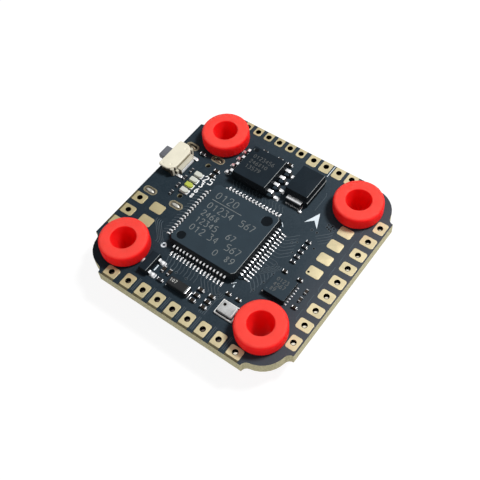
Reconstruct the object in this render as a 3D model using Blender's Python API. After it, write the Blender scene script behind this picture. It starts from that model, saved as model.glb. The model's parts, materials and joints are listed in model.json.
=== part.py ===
"""Flight controller board: a circuit board on rubber dampers, with its chips, lights, switch and socket.

Dimensions are in millimetres and become metres when a mesh is finished. Places on the board are measured
from the middle of the mounting-hole square: z = 0 is the board's top face, +X right and +Y front.
"""

import math

import bmesh
import bpy
from mathutils import Matrix, Vector

MM = 0.001

# Fits shared by many pieces
SEAT_GAP = 0.02
RUN_CLEARANCE = 0.05

# Circuit board: the margins run from the mounting holes to the edges
HOLE_PITCH = 20.0
EDGE_MARGIN = 4.6
FRONT_MARGIN = 4.2
BOARD_THICKNESS = 1.55
EAR_START = 0.45
EAR_OFFSET = 0.5
EAR_SETBACK = 0.3

# Solder pad holes along the edges
PAD_HOLE = 0.7
PAD_INSET = 1.13
FRONT_PAD_INSET = 0.73
PAD_PITCH = 2.22
PADS_PER_ROW = 7
END_PAD_INSET = 0.95
END_PAD_STEP = 2.44
LEFT_PAD_FIRST = 11.15
LEFT_PAD_COUNT = 3
SIGNAL_PAD_FIRST = 5.57
SIGNAL_PAD_PITCH = 1.68
SIGNAL_PAD_COUNT = 6
POWER_PAD_FIRST = 15.92
POWER_PAD_PITCH = 1.88
POWER_PAD_COUNT = 4

# Rubber dampers
DAMPER_UPPER = 6.15
DAMPER_UPPER_HEIGHT = 2.05
DAMPER_LOWER = 5.6
DAMPER_LOWER_HEIGHT = 2.05
DAMPER_NECK = 4.1
DAMPER_BORE = 3.1
DAMPER_BORE_FOOT = 2.4
DAMPER_SEAT_ROUND = 0.5
DAMPER_RIM_ROUND = 0.35
DAMPER_SEAT_RING = 0.25
DAMPER_SIDES = 28

# Processor
PROCESSOR_BODY = 10.0
PROCESSOR_HEIGHT = 1.5
PROCESSOR_PLACE = (-1.1, -1.86)
PROCESSOR_LEADS = 16
PROCESSOR_LEAD_PITCH = 0.5

# Flash memory
FLASH_BODY = 5.25
FLASH_HEIGHT = 1.8
FLASH_FROM_DAMPER = 1.35
FLASH_FROM_FRONT = 6.43
FLASH_LEAD_PITCH = 1.27
FLASH_LEADS = 4

# Power diode
DIODE_WIDTH = 3.4
DIODE_LENGTH = 4.3
DIODE_HEIGHT = 2.05
DIODE_FROM_FLASH = 0.5
DIODE_FROM_FRONT = 5.42
DIODE_FRONT_TAB = 0.25

# Voltage regulator and buck converter
SMALL_CHIP_WIDTH = 1.3
SMALL_CHIP_LENGTH = 2.9
SMALL_CHIP_HEIGHT = 1.0
SMALL_CHIP_PITCH = 0.95
REGULATOR_FROM_DAMPER = 0.375
REGULATOR_FROM_REAR = 4.3
CONVERTER_PLACE = (1.6, 3.2)

# Gull-wing leads: width, thickness, height of the lead's underside, shoulder, slope, foot
PROCESSOR_LEAD = (0.22, 0.13, 0.68, 0.3, 0.22, 0.5)
FLASH_LEAD = (0.42, 0.2, 0.82, 0.62, 0.2, 0.5)
SMALL_CHIP_LEAD = (0.4, 0.12, 0.42, 0.12, 0.16, 0.32)
DIODE_TAB = (2.15, 0.85, 0.2, 0.0, 0.63, 0.0)

# Mould draft and the stand-off under a leaded chip
MOULD_DRAFT = 0.12
STAND_OFF = 0.08

# Supply capacitor
SUPPLY_LENGTH = 3.0
SUPPLY_WIDTH = 1.2
SUPPLY_HEIGHT = 0.95
SUPPLY_TERMINAL = 0.3
SUPPLY_FROM_REGULATOR = 4.8
SUPPLY_FROM_REAR = 3.7

# Gyro sensor
GYRO_SIZE = 3.0
GYRO_HEIGHT = 0.85
GYRO_SUBSTRATE = 0.25
GYRO_STEP = 0.04
GYRO_FROM_DAMPER = 0.975
GYRO_FROM_RIGHT = 5.95

# Barometer
BAROMETER_LENGTH = 2.5
BAROMETER_WIDTH = 2.0
BAROMETER_BASE_HEIGHT = 0.28
BAROMETER_HEIGHT = 0.72
BAROMETER_LEDGE = 0.3
BAROMETER_WALL = 0.12
BAROMETER_VENT = 0.25
BAROMETER_VENT_INSET = 0.4
BAROMETER_FROM_DAMPER = 0.275
BAROMETER_FROM_REAR = 4.48

# Status lights
LIGHT_COUNT = 4
LIGHT_LENGTH = 1.25
LIGHT_WIDTH = 0.72
LIGHT_HEIGHT = 0.48
LIGHT_BASE_HEIGHT = 0.2
LIGHT_LENS = 0.95
LIGHT_LENS_TAPER = 0.04
LIGHT_PITCH = 0.97
LIGHT_FROM_LEFT = 5.25
LIGHT_FROM_FRONT = 10.87

# Chip resistors and capacitors: length, width, height, terminal length
CHIP = (0.8, 0.42, 0.35, 0.22)
TINY_CHIP = (0.65, 0.36, 0.32, 0.17)
CHIP_STEP = 0.02
LIGHT_RESISTOR_PITCH = 1.37
LIGHT_RESISTOR_FROM_LEFT = 4.0
LIGHT_RESISTOR_FROM_FRONT = 10.75
SWITCH_RESISTOR_FROM_LEFT = 3.55
SWITCH_RESISTOR_FROM_DAMPER = 0.36
LOGIC_CHIP_FROM_LEFT = 6.75
LOGIC_CHIP_FROM_FRONT = 9.1
LOGIC_CHIP_PITCH = 0.85
FLASH_CHIP_STEPS = (-1.55, 0.75, 2.25)
FLASH_CHIP_GAP = 0.465
SENSOR_CHIP_FROM_RIGHT = 6.85
SENSOR_CHIP_FROM_FRONT = 11.55
SENSOR_CHIP_PITCH = 0.8125
SENSOR_CHIP_COUNT = 5
GYRO_CHIP_STEPS = (-0.9, 1.2)
GYRO_CHIP_GAP = 0.57
EDGE_CHIP_FROM_RIGHT = 3.3
EDGE_CHIP_FIRST = 11.5
EDGE_CHIP_PITCH = 1.2
EDGE_CHIP_COUNT = 3
BLOCK_CHIP_FROM_SUPPLY = 0.85
BLOCK_CHIP_COLUMN = 1.57
BLOCK_CHIP_ROW = 0.81
BLOCK_CHIP_FROM_REAR = 3.3
BAROMETER_CHIP_STEPS = (-1.24, 0.16)
BAROMETER_CHIP_GAP = 0.66
REGULATOR_CHIP_GAP = 0.32
REGULATOR_CHIP_STEP = 0.85
REGULATOR_CHIP_FROM_REAR = 4.68
REGULATOR_LOW_CHIP_STEP = 0.55
REGULATOR_LOW_CHIP_FROM_REAR = 3.3

# Boot switch
SWITCH_WIDTH = 4.5
SWITCH_DEPTH = 2.27
SWITCH_HEIGHT = 1.4
SWITCH_LID = 0.25
SWITCH_FLOOR = 0.3
SWITCH_SIDE_WALL = 0.35
SWITCH_FRONT_WALL = 0.3
SWITCH_REAR_WALL = 0.4
SWITCH_CHAMFER = 0.75
SWITCH_SHELF_WIDTH = 2.5
SWITCH_SHELF_DEPTH = 0.6
SWITCH_SHELF_HEIGHT = 0.85
SWITCH_FROM_FRONT = 10.6
SWITCH_FROM_LEFT = 0.37
SWITCH_LEG_WIDTH = 0.45
SWITCH_LEG_THICKNESS = 0.15
SWITCH_LEG_GRIP = 0.3
SWITCH_LEG_REACH = 0.85
SWITCH_LEG_SPACING = 3.3
BUTTON_WIDTH = 1.75
BUTTON_REACH = 1.17
BUTTON_TRAVEL = 0.25
BUTTON_COLLAR = 0.45
BUTTON_COLLAR_DEPTH = 0.35
BUTTON_CORNER = 0.2
SPRING_THICKNESS = 0.08
SPRING_SPAN = 3.0
SPRING_STEPS = 12

# Data socket under the board
SOCKET_WIDTH = 8.94
SOCKET_HEIGHT = 3.16
SOCKET_DEPTH = 6.75
SOCKET_WALL = 0.3
SOCKET_REACH = 0.55
SOCKET_FROM_DAMPER = 0.28
SOCKET_LEG_SPACING = 4.18
SOCKET_LEG_FROM_REAR = 0.52
SOCKET_LEG_LENGTH = 1.1
SOCKET_SLOT_CLEARANCE = 0.15
SOCKET_PEG = 0.5
SOCKET_PEG_SPACING = 5.78
SOCKET_PEG_STEP = 0.53
SOCKET_PEG_CLEARANCE = 0.08
SOCKET_NOTCH_DEPTH = 1.7
SOCKET_NOTCH_MARGIN = 0.3
SOCKET_BLOCK_DEPTH = 2.0
SOCKET_TONGUE_WIDTH = 6.69
SOCKET_TONGUE_THICKNESS = 0.7
SOCKET_TONGUE_RECESS = 0.6
SOCKET_TAIL_COUNT = 12
SOCKET_TAIL_PITCH = 0.55
SOCKET_TAIL_WIDTH = 0.25
SOCKET_TAIL_THICKNESS = 0.15
SOCKET_TAIL_REACH = 0.75
SOCKET_ROUND_STEPS = 8

# Buck inductor and clock crystal under the board
INDUCTOR = (4.2, 4.0, 2.0, 0.6)
INDUCTOR_PLACE = (5.8, 3.2)
CRYSTAL_LENGTH = 3.2
CRYSTAL_WIDTH = 2.5
CRYSTAL_BASE_HEIGHT = 0.35
CRYSTAL_HEIGHT = 0.75
CRYSTAL_LEDGE = 0.14
CRYSTAL_PLACE = (-1.1, -6.4)

# Round holes and arcs
HOLE_SIDES = 8
ARC_STEPS = 7
NOTCH_STEPS = 4

# Worked out from the sizes above
HALF_PITCH = HOLE_PITCH / 2
HALF_BOARD = HALF_PITCH + EDGE_MARGIN
FRONT_EDGE = HALF_PITCH + FRONT_MARGIN
DAMPER_EDGE = HALF_PITCH - DAMPER_UPPER / 2
UNDERSIDE = -BOARD_THICKNESS
TURNED = math.pi / 2
UPSIDE_DOWN = (math.pi, 0.0, 0.0)
EXTRUDED_ALONG_X = Matrix(((0, 0, 1, 0), (1, 0, 0, 0), (0, 1, 0, 0), (0, 0, 0, 1)))
EXTRUDED_ALONG_Y = Matrix(((1, 0, 0, 0), (0, 0, -1, 0), (0, 1, 0, 0), (0, 0, 0, 1)))


def clear_scene():
    for old in list(bpy.data.objects):
        bpy.data.objects.remove(old)


def finish(name, colour, roughness, metallic=0.0):
    """A plain finish: one Principled shader with a colour, a roughness and a metallic value."""
    made = bpy.data.materials.get(name)
    if made is None:
        made = bpy.data.materials.new(name)
        made.use_nodes = True
        shader = made.node_tree.nodes["Principled BSDF"]
        shader.inputs["Base Color"].default_value = (*colour, 1.0)
        shader.inputs["Roughness"].default_value = roughness
        shader.inputs["Metallic"].default_value = metallic
    return made


def black_epoxy():
    return finish("black_epoxy", (0.03, 0.035, 0.04), 0.5)


def bright_tin():
    return finish("bright_tin", (0.8, 0.8, 0.8), 0.3, 1.0)


def ivory_moulding():
    return finish("ivory_moulding", (0.8, 0.77, 0.65), 0.5)


def from_left(distance):
    return -HALF_BOARD + distance


def from_right(distance):
    return HALF_BOARD - distance


def from_front(distance):
    return FRONT_EDGE - distance


def from_rear(distance):
    return -HALF_BOARD + distance


def arc(centre, radius, first, last, steps):
    """Points on an arc from the first angle to the last, in degrees, both ends included."""
    angles = [math.radians(first + (last - first) * i / steps) for i in range(steps + 1)]
    return [(centre[0] + radius * math.cos(a), centre[1] + radius * math.sin(a)) for a in angles]


def ring(centre, diameter, sides):
    return arc(centre, diameter / 2, 0.0, 360.0, sides)[:-1]


def stadium(centre, width, height, steps):
    """A slot outline: two half circles joined by straight runs along its width."""
    radius = height / 2
    run = (width - height) / 2
    right = arc((centre[0] + run, centre[1]), radius, -90.0, 90.0, steps)
    left = arc((centre[0] - run, centre[1]), radius, 90.0, 270.0, steps)
    return right + left


def rectangle(x_low, x_high, y_low, y_high):
    return [(x_low, y_low), (x_high, y_low), (x_high, y_high), (x_low, y_high)]


def plate(mesh, loops, low, high):
    """A flat plate from low to high: the first loop is its outline, and the others are holes."""
    edges = []
    for loop in loops:
        points = [mesh.verts.new((x, y, low)) for x, y in loop]
        edges += [mesh.edges.new((a, b)) for a, b in zip(points, points[1:] + points[:1])]
    filled = bmesh.ops.triangle_fill(mesh, edges=edges, use_beauty=True)
    faces = [item for item in filled["geom"] if isinstance(item, bmesh.types.BMFace)]
    raised = bmesh.ops.extrude_face_region(mesh, geom=faces, use_keep_orig=True)
    top = [item for item in raised["geom"] if isinstance(item, bmesh.types.BMVert)]
    bmesh.ops.translate(mesh, verts=top, vec=(0.0, 0.0, high - low))


def prism(mesh, outline, low, high, turn=None):
    """An outline carried from low to high along Z, or along the axis that the turn brings Z to."""
    face = mesh.faces.new([mesh.verts.new((x, y, low)) for x, y in outline])
    raised = bmesh.ops.extrude_face_region(mesh, geom=[face], use_keep_orig=True)
    top = [item for item in raised["geom"] if isinstance(item, bmesh.types.BMVert)]
    bmesh.ops.translate(mesh, verts=top, vec=(0.0, 0.0, high - low))
    if turn is not None:
        bmesh.ops.transform(mesh, matrix=turn, verts=list(face.verts) + top)


def box(mesh, x_range, y_range, z_range):
    prism(mesh, rectangle(*x_range, *y_range), *z_range)


def stack(mesh, layers):
    """A block of square-cornered layers, each (half length, half width, z), joined in order."""
    rings = []
    for half_length, half_width, z in layers:
        corners = rectangle(-half_length, half_length, -half_width, half_width)
        rings.append([mesh.verts.new((x, y, z)) for x, y in corners])
    for lower, upper in zip(rings, rings[1:]):
        for i in range(4):
            j = (i + 1) % 4
            mesh.faces.new((lower[i], lower[j], upper[j], upper[i]))
    mesh.faces.new(rings[0][::-1])
    mesh.faces.new(rings[-1])


def to_mesh(name, mesh):
    """Turns a bmesh in millimetres into a mesh in metres, faces out and smooth between sharp edges."""
    bmesh.ops.recalc_face_normals(mesh, faces=mesh.faces)
    mesh.transform(Matrix.Scale(MM, 4))
    made = bpy.data.meshes.new(name)
    mesh.to_mesh(made)
    mesh.free()
    made.shade_smooth()
    made.set_sharp_from_angle(angle=math.radians(35))
    return made


def add_part(name, mesh, surface, place, turn=(0.0, 0.0, 0.0)):
    """Adds one named piece, placed on the board in millimetres and carried by the assembly's empty."""
    part = bpy.data.objects.new(name, to_mesh(name, mesh))
    part.data.materials.append(surface)
    part.location = [value * MM for value in place]
    part.rotation_euler = turn
    part.parent = bpy.data.objects["assembly"]
    bpy.context.collection.objects.link(part)
    return part


def combine(part, label, mesh, operation):
    """Joins a second shape to a part, or cuts it away. The shape shares the part's own axes."""
    tool = bpy.data.objects.new(f"{part.name}_{label}", to_mesh(label, mesh))
    tool.parent = part
    tool.hide_render = True
    tool.display_type = "WIRE"
    bpy.context.collection.objects.link(tool)
    joint = part.modifiers.new(label, "BOOLEAN")
    joint.operation = operation
    joint.solver = "EXACT"
    joint.object = tool


def add_assembly():
    """The empty that carries every piece. Its place puts the origin under the middle, on the lowest face."""
    carrier = bpy.data.objects.new("assembly", None)
    bpy.context.collection.objects.link(carrier)
    lowest = max(SOCKET_HEIGHT, DAMPER_LOWER_HEIGHT)
    left_reach = max(BUTTON_REACH - SWITCH_FROM_LEFT, SOCKET_REACH)
    front_loss = HALF_BOARD - FRONT_EDGE
    carrier.location = (left_reach / 2 * MM, front_loss / 2 * MM, (BOARD_THICKNESS + SEAT_GAP + lowest) * MM)


def ear_notch(margin, ear):
    """The notch that leaves an edge squarely and meets the ear smoothly: its radius and the ear's angle there."""
    aside, along = margin - EAR_OFFSET, EAR_START - EAR_OFFSET
    notch = (aside**2 + along**2 - ear**2) / (2 * (ear - along))
    return notch, math.degrees(math.atan2(along + notch, aside))


def board_outline():
    """A rectangle with a round ear at each mounting hole and a small round notch on both sides of each ear."""
    ear = min(EDGE_MARGIN, FRONT_MARGIN) - EAR_OFFSET - EAR_SETBACK
    margins = [EDGE_MARGIN, FRONT_MARGIN, EDGE_MARGIN, EDGE_MARGIN]
    points = []
    for corner, margin in enumerate(margins):
        next_margin = margins[(corner + 1) % len(margins)]
        notch, meeting = ear_notch(margin, ear)
        next_notch, next_meeting = ear_notch(next_margin, ear)
        side = arc((margin, EAR_START + notch), notch, 270.0, 180.0 + meeting, NOTCH_STEPS)
        bow = arc((EAR_OFFSET, EAR_OFFSET), ear, meeting, 90.0 - next_meeting, ARC_STEPS)
        back = arc((EAR_START + next_notch, next_margin), next_notch, 270.0 - next_meeting, 180.0, NOTCH_STEPS)
        spin = Matrix.Rotation(math.radians(90.0 * corner), 2)
        for x, y in side + bow[1:-1] + back:
            points.append(tuple(spin @ Vector((HALF_PITCH + x, HALF_PITCH + y))))
    return points


def corners():
    """Name and place of each mounting hole."""
    return [
        ("rear_left", (-HALF_PITCH, -HALF_PITCH)),
        ("rear_right", (HALF_PITCH, -HALF_PITCH)),
        ("front_right", (HALF_PITCH, HALF_PITCH)),
        ("front_left", (-HALF_PITCH, HALF_PITCH)),
    ]


def pad_holes():
    """Centres of the drilled solder pads, edge by edge."""
    middle = (PADS_PER_ROW - 1) / 2
    row = [(i - middle) * PAD_PITCH for i in range(PADS_PER_ROW)]
    ends = [row[0] - END_PAD_STEP, row[-1] + END_PAD_STEP]
    found = [(x, from_rear(PAD_INSET)) for x in row] + [(x, from_rear(END_PAD_INSET)) for x in ends]
    found += [(from_right(PAD_INSET), y) for y in row] + [(from_right(END_PAD_INSET), y) for y in ends]
    left = [from_rear(LEFT_PAD_FIRST - i * PAD_PITCH) for i in range(LEFT_PAD_COUNT)]
    found += [(from_left(PAD_INSET), y) for y in left]
    signal = [from_left(SIGNAL_PAD_FIRST + i * SIGNAL_PAD_PITCH) for i in range(SIGNAL_PAD_COUNT)]
    power = [from_left(POWER_PAD_FIRST + i * POWER_PAD_PITCH) for i in range(POWER_PAD_COUNT)]
    found += [(x, from_front(FRONT_PAD_INSET)) for x in signal + power]
    return found


def socket_centre():
    """The socket's middle across the board, beside the front left damper, and its rear end."""
    across = HALF_PITCH - DAMPER_LOWER / 2 - SOCKET_FROM_DAMPER - SOCKET_WIDTH / 2
    return across, from_left(SOCKET_DEPTH - SOCKET_REACH)


def socket_legs():
    """Places of the shell's four legs."""
    across, rear = socket_centre()
    aside = (SOCKET_WIDTH - SOCKET_WALL - SEAT_GAP) / 2
    back = rear - SOCKET_LEG_FROM_REAR
    return [(x, across + s * aside) for x in (back - SOCKET_LEG_SPACING, back) for s in (-1, 1)]


def socket_pegs():
    """Places of the contact block's two locating pegs."""
    across, rear = socket_centre()
    x = rear - SOCKET_LEG_FROM_REAR - SOCKET_PEG_STEP
    return [(x, across + s * SOCKET_PEG_SPACING / 2) for s in (-1, 1)]


def add_board():
    loops = [board_outline()]
    loops += [ring(place, DAMPER_NECK + 2 * RUN_CLEARANCE, DAMPER_SIDES) for _, place in corners()]
    loops += [ring(place, PAD_HOLE, HOLE_SIDES) for place in pad_holes()]
    slot_width = SOCKET_WALL + 2 * SOCKET_SLOT_CLEARANCE
    slot_length = SOCKET_LEG_LENGTH + 2 * SOCKET_SLOT_CLEARANCE
    loops += [stadium(place, slot_length, slot_width, NOTCH_STEPS) for place in socket_legs()]
    loops += [ring(place, SOCKET_PEG + 2 * SOCKET_PEG_CLEARANCE, HOLE_SIDES) for place in socket_pegs()]
    mesh = bmesh.new()
    plate(mesh, loops, UNDERSIDE, 0.0)
    add_part("circuit_board", mesh, finish("solder_mask", (0.025, 0.03, 0.04), 0.45), (0.0, 0.0, 0.0))


def flange(radius, height, seat_round, seat, outward):
    """A damper flange's section, from its seat on the board to its outer ring, in radius and height."""
    neck = DAMPER_NECK / 2
    seat_round = min(seat_round, radius - neck - DAMPER_SEAT_RING, height - DAMPER_RIM_ROUND)
    near = arc((radius - seat_round, seat_round), seat_round, -90.0, 0.0, 4)
    far = arc((radius - DAMPER_RIM_ROUND, height - DAMPER_RIM_ROUND), DAMPER_RIM_ROUND, 0.0, 90.0, 3)
    return [(r, seat + outward * z) for r, z in near + far]


def add_dampers():
    """Each damper is a turned section: a flange above the board, a neck in its hole and a flange below.

    Its bore narrows from top to foot.
    """
    rubber = finish("red_rubber", (0.85, 0.06, 0.04), 0.5)
    top_seat = SEAT_GAP
    low_seat = UNDERSIDE - SEAT_GAP
    upper = flange(DAMPER_UPPER / 2, DAMPER_UPPER_HEIGHT, DAMPER_SEAT_ROUND, top_seat, 1)
    lower = flange(DAMPER_LOWER / 2, DAMPER_LOWER_HEIGHT, DAMPER_SEAT_ROUND / 2, low_seat, -1)
    neck = DAMPER_NECK / 2
    section = [(DAMPER_BORE_FOOT / 2, lower[-1][1]), (DAMPER_BORE / 2, upper[-1][1])] + upper[::-1]
    section += [(neck, top_seat), (neck, low_seat)] + lower
    for name, (x, y) in corners():
        mesh = bmesh.new()
        points = [mesh.verts.new((r, 0.0, z)) for r, z in section]
        edges = [mesh.edges.new((a, b)) for a, b in zip(points, points[1:] + points[:1])]
        bmesh.ops.spin(
            mesh, geom=points + edges, axis=(0, 0, 1), cent=(0, 0, 0), angle=2 * math.pi,
            steps=DAMPER_SIDES, use_merge=True,
        )
        bmesh.ops.remove_doubles(mesh, verts=mesh.verts, dist=SEAT_GAP / 100)
        add_part(f"damper_{name}", mesh, rubber, (x, y, 0.0))


def leaded_body(mesh, half_x, half_y, height, lead, rows, runs=None):
    """A moulded chip with its leads, as one shell.

    The body has its widest section at the lead frame and draws in towards its top and bottom. rows gives,
    for the sides facing -Y, +X, +Y and -X, the places of the leads along that side, walking round the body.
    Each lead starts as a small face on the side and is extruded out, down to the board and out again.
    runs gives shoulder, slope and foot for each side where the sides differ.
    """
    width, thickness, underside = lead[:3]
    runs = runs or [lead[3:]] * 4
    levels = (underside, underside + thickness)
    outward = [(0, -1), (1, 0), (0, 1), (-1, 0)]
    along = [(1, 0), (0, 1), (-1, 0), (0, -1)]
    reach = [half_y, half_x, half_y, half_x]
    half_run = [half_x, half_y, half_x, half_y]
    sides = []
    for side in range(4):
        marks = [-half_run[side]]
        for centre in rows[side]:
            marks += [centre - width / 2, centre + width / 2]
        (ox, oy), (ax, ay) = outward[side], along[side]
        sides.append([(ox * reach[side] + ax * m, oy * reach[side] + ay * m) for m in marks])
    loop = [point for side in sides for point in side]
    low, high = [[mesh.verts.new((x, y, z)) for x, y in loop] for z in levels]
    caps = []
    cap_x, cap_y = half_x - MOULD_DRAFT, half_y - MOULD_DRAFT
    for z in (STAND_OFF, height):
        caps.append([mesh.verts.new((x, y, z)) for x, y in rectangle(-cap_x, cap_x, -cap_y, cap_y)])
    mesh.faces.new(caps[0][::-1])
    mesh.faces.new(caps[1])
    start = 0
    for side in range(4):
        count = len(sides[side])
        run = [(start + i) % len(loop) for i in range(count + 1)]
        after = (side + 1) % 4
        mesh.faces.new([caps[0][side], caps[0][after]] + [low[i] for i in run[::-1]])
        mesh.faces.new([high[i] for i in run] + [caps[1][after], caps[1][side]])
        leads = []
        for step, (i, j) in enumerate(zip(run, run[1:])):
            face = mesh.faces.new((low[i], low[j], high[j], high[i]))
            if step % 2:
                leads.append(face)
        for out, drop in zip(runs[side], (0.0, underside - SEAT_GAP, 0.0)):
            if leads and out > 0.0:
                leads = bmesh.ops.extrude_discrete_faces(mesh, faces=leads)["faces"]
                ends = list({corner for face in leads for corner in face.verts})
                ox, oy = outward[side]
                bmesh.ops.translate(mesh, verts=ends, vec=(ox * out, oy * out, -drop))
        start += count


def lead_places(count, pitch):
    return [(i - (count - 1) / 2) * pitch for i in range(count)]


def lead_reach(lead):
    """How far a gull-wing lead stands out of its chip."""
    return sum(lead[3:])


def flash_place():
    x = -DAMPER_EDGE + FLASH_FROM_DAMPER + FLASH_BODY / 2
    return x, from_front(FLASH_FROM_FRONT)


def diode_place():
    x = flash_place()[0] + FLASH_BODY / 2 + lead_reach(FLASH_LEAD) + DIODE_FROM_FLASH + DIODE_WIDTH / 2
    return x, from_front(DIODE_FROM_FRONT)


def regulator_place():
    x = -DAMPER_EDGE + REGULATOR_FROM_DAMPER + SMALL_CHIP_WIDTH / 2
    return x, from_rear(REGULATOR_FROM_REAR)


def supply_place():
    return regulator_place()[0] + SUPPLY_FROM_REGULATOR, from_rear(SUPPLY_FROM_REAR)


def gyro_place():
    return from_right(GYRO_FROM_RIGHT), -DAMPER_EDGE + GYRO_FROM_DAMPER + GYRO_SIZE / 2


def barometer_place():
    return DAMPER_EDGE - BAROMETER_FROM_DAMPER - BAROMETER_LENGTH / 2, from_rear(BAROMETER_FROM_REAR)


def add_leaded_chips():
    half = PROCESSOR_BODY / 2
    row = lead_places(PROCESSOR_LEADS, PROCESSOR_LEAD_PITCH)
    mesh = bmesh.new()
    leaded_body(mesh, half, half, PROCESSOR_HEIGHT, PROCESSOR_LEAD, [row] * 4)
    add_part("processor", mesh, black_epoxy(), (*PROCESSOR_PLACE, 0.0))

    half = FLASH_BODY / 2
    row = lead_places(FLASH_LEADS, FLASH_LEAD_PITCH)
    mesh = bmesh.new()
    leaded_body(mesh, half, half, FLASH_HEIGHT, FLASH_LEAD, [[], row, [], row])
    add_part("flash_memory", mesh, black_epoxy(), (*flash_place(), 0.0))

    mesh = bmesh.new()
    half_x, half_y = DIODE_WIDTH / 2, DIODE_LENGTH / 2
    runs = [DIODE_TAB[3:], (), (0.0, DIODE_FRONT_TAB, 0.0), ()]
    leaded_body(mesh, half_x, half_y, DIODE_HEIGHT, DIODE_TAB, [[0.0], [], [0.0], []], runs)
    add_part("power_diode", mesh, black_epoxy(), (*diode_place(), 0.0))

    half_x, half_y = SMALL_CHIP_WIDTH / 2, SMALL_CHIP_LENGTH / 2
    pair = [-SMALL_CHIP_PITCH, SMALL_CHIP_PITCH]
    mesh = bmesh.new()
    leaded_body(mesh, half_x, half_y, SMALL_CHIP_HEIGHT, SMALL_CHIP_LEAD, [[], pair, [], [0.0]])
    add_part("voltage_regulator", mesh, black_epoxy(), (*regulator_place(), 0.0))

    three = lead_places(3, SMALL_CHIP_PITCH)
    mesh = bmesh.new()
    leaded_body(mesh, half_x, half_y, SMALL_CHIP_HEIGHT, SMALL_CHIP_LEAD, [[], three, [], three])
    add_part("buck_converter", mesh, black_epoxy(), (*CONVERTER_PLACE, UNDERSIDE), UPSIDE_DOWN)


def add_blocks():
    """The square-cornered pieces: gyro, supply capacitor, buck inductor and clock crystal."""
    half = GYRO_SIZE / 2
    mesh = bmesh.new()
    upper = half - GYRO_STEP
    stack(mesh, [
        (half, half, SEAT_GAP), (half, half, GYRO_SUBSTRATE), (upper, upper, GYRO_SUBSTRATE),
        (upper, upper, GYRO_HEIGHT),
    ])
    add_part("gyro_sensor", mesh, black_epoxy(), (*gyro_place(), 0.0))

    half_x, half_y = CRYSTAL_LENGTH / 2, CRYSTAL_WIDTH / 2
    mesh = bmesh.new()
    stack(mesh, [
        (half_x, half_y, SEAT_GAP), (half_x, half_y, CRYSTAL_BASE_HEIGHT),
        (half_x - CRYSTAL_LEDGE, half_y - CRYSTAL_LEDGE, CRYSTAL_BASE_HEIGHT),
        (half_x - CRYSTAL_LEDGE, half_y - CRYSTAL_LEDGE, CRYSTAL_HEIGHT),
    ])
    add_part("clock_crystal", mesh, bright_tin(), (*CRYSTAL_PLACE, UNDERSIDE), UPSIDE_DOWN)

    supply = (SUPPLY_LENGTH, SUPPLY_WIDTH, SUPPLY_HEIGHT, SUPPLY_TERMINAL)
    add_chip("supply_capacitor", supply, (*supply_place(), 0.0), False, black_epoxy())
    iron = finish("moulded_iron", (0.09, 0.09, 0.1), 0.6)
    add_chip("buck_inductor", INDUCTOR, (*INDUCTOR_PLACE, UNDERSIDE), False, iron, UPSIDE_DOWN)


def add_chip(name, size, place, lengthways, surface, turn=(0.0, 0.0, 0.0)):
    """A two-terminal chip: a block whose ends are capped by terminals that stand a little proud of it."""
    length, width, height, terminal = size
    end = length / 2
    waist = end - terminal
    full = rectangle(-width / 2, width / 2, SEAT_GAP, height)
    slim = rectangle(CHIP_STEP - width / 2, width / 2 - CHIP_STEP, SEAT_GAP + CHIP_STEP, height - CHIP_STEP)
    mesh = bmesh.new()
    sections = [(-end, full), (-waist, full), (-waist, slim), (waist, slim), (waist, full), (end, full)]
    rings = [[mesh.verts.new((x, y, z)) for y, z in section] for x, section in sections]
    for first, second in zip(rings, rings[1:]):
        for i in range(4):
            j = (i + 1) % 4
            mesh.faces.new((first[i], first[j], second[j], second[i]))
    mesh.faces.new(rings[0])
    mesh.faces.new(rings[-1])
    heading = (turn[0], turn[1], TURNED if lengthways else 0.0)
    add_part(name, mesh, surface, place, heading)


def add_barometer():
    """A flat ceramic base with an open-bottomed metal lid standing on it. The lid has a vent hole."""
    x, y = barometer_place()
    half_x, half_y = BAROMETER_LENGTH / 2, BAROMETER_WIDTH / 2
    mesh = bmesh.new()
    box(mesh, (-half_x, half_x), (-half_y, half_y), (SEAT_GAP, BAROMETER_BASE_HEIGHT))
    add_part("barometer_base", mesh, finish("pale_ceramic", (0.75, 0.74, 0.68), 0.5), (x, y, 0.0))

    lid_x, lid_y = half_x - BAROMETER_LEDGE, half_y - BAROMETER_LEDGE
    foot = BAROMETER_BASE_HEIGHT + SEAT_GAP
    mesh = bmesh.new()
    box(mesh, (-lid_x, lid_x), (-lid_y, lid_y), (foot, BAROMETER_HEIGHT))
    lid = add_part("barometer_lid", mesh, bright_tin(), (x, y, 0.0))
    hollow = bmesh.new()
    inner_x, inner_y = lid_x - BAROMETER_WALL, lid_y - BAROMETER_WALL
    box(hollow, (-inner_x, inner_x), (-inner_y, inner_y), (0.0, BAROMETER_HEIGHT - BAROMETER_WALL))
    combine(lid, "hollow", hollow, "DIFFERENCE")
    vent = bmesh.new()
    centre = (BAROMETER_VENT_INSET - lid_x, lid_y - BAROMETER_VENT_INSET)
    prism(vent, ring(centre, BAROMETER_VENT, HOLE_SIDES), foot, BAROMETER_HEIGHT + BAROMETER_WALL)
    combine(lid, "vent", vent, "DIFFERENCE")


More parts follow.
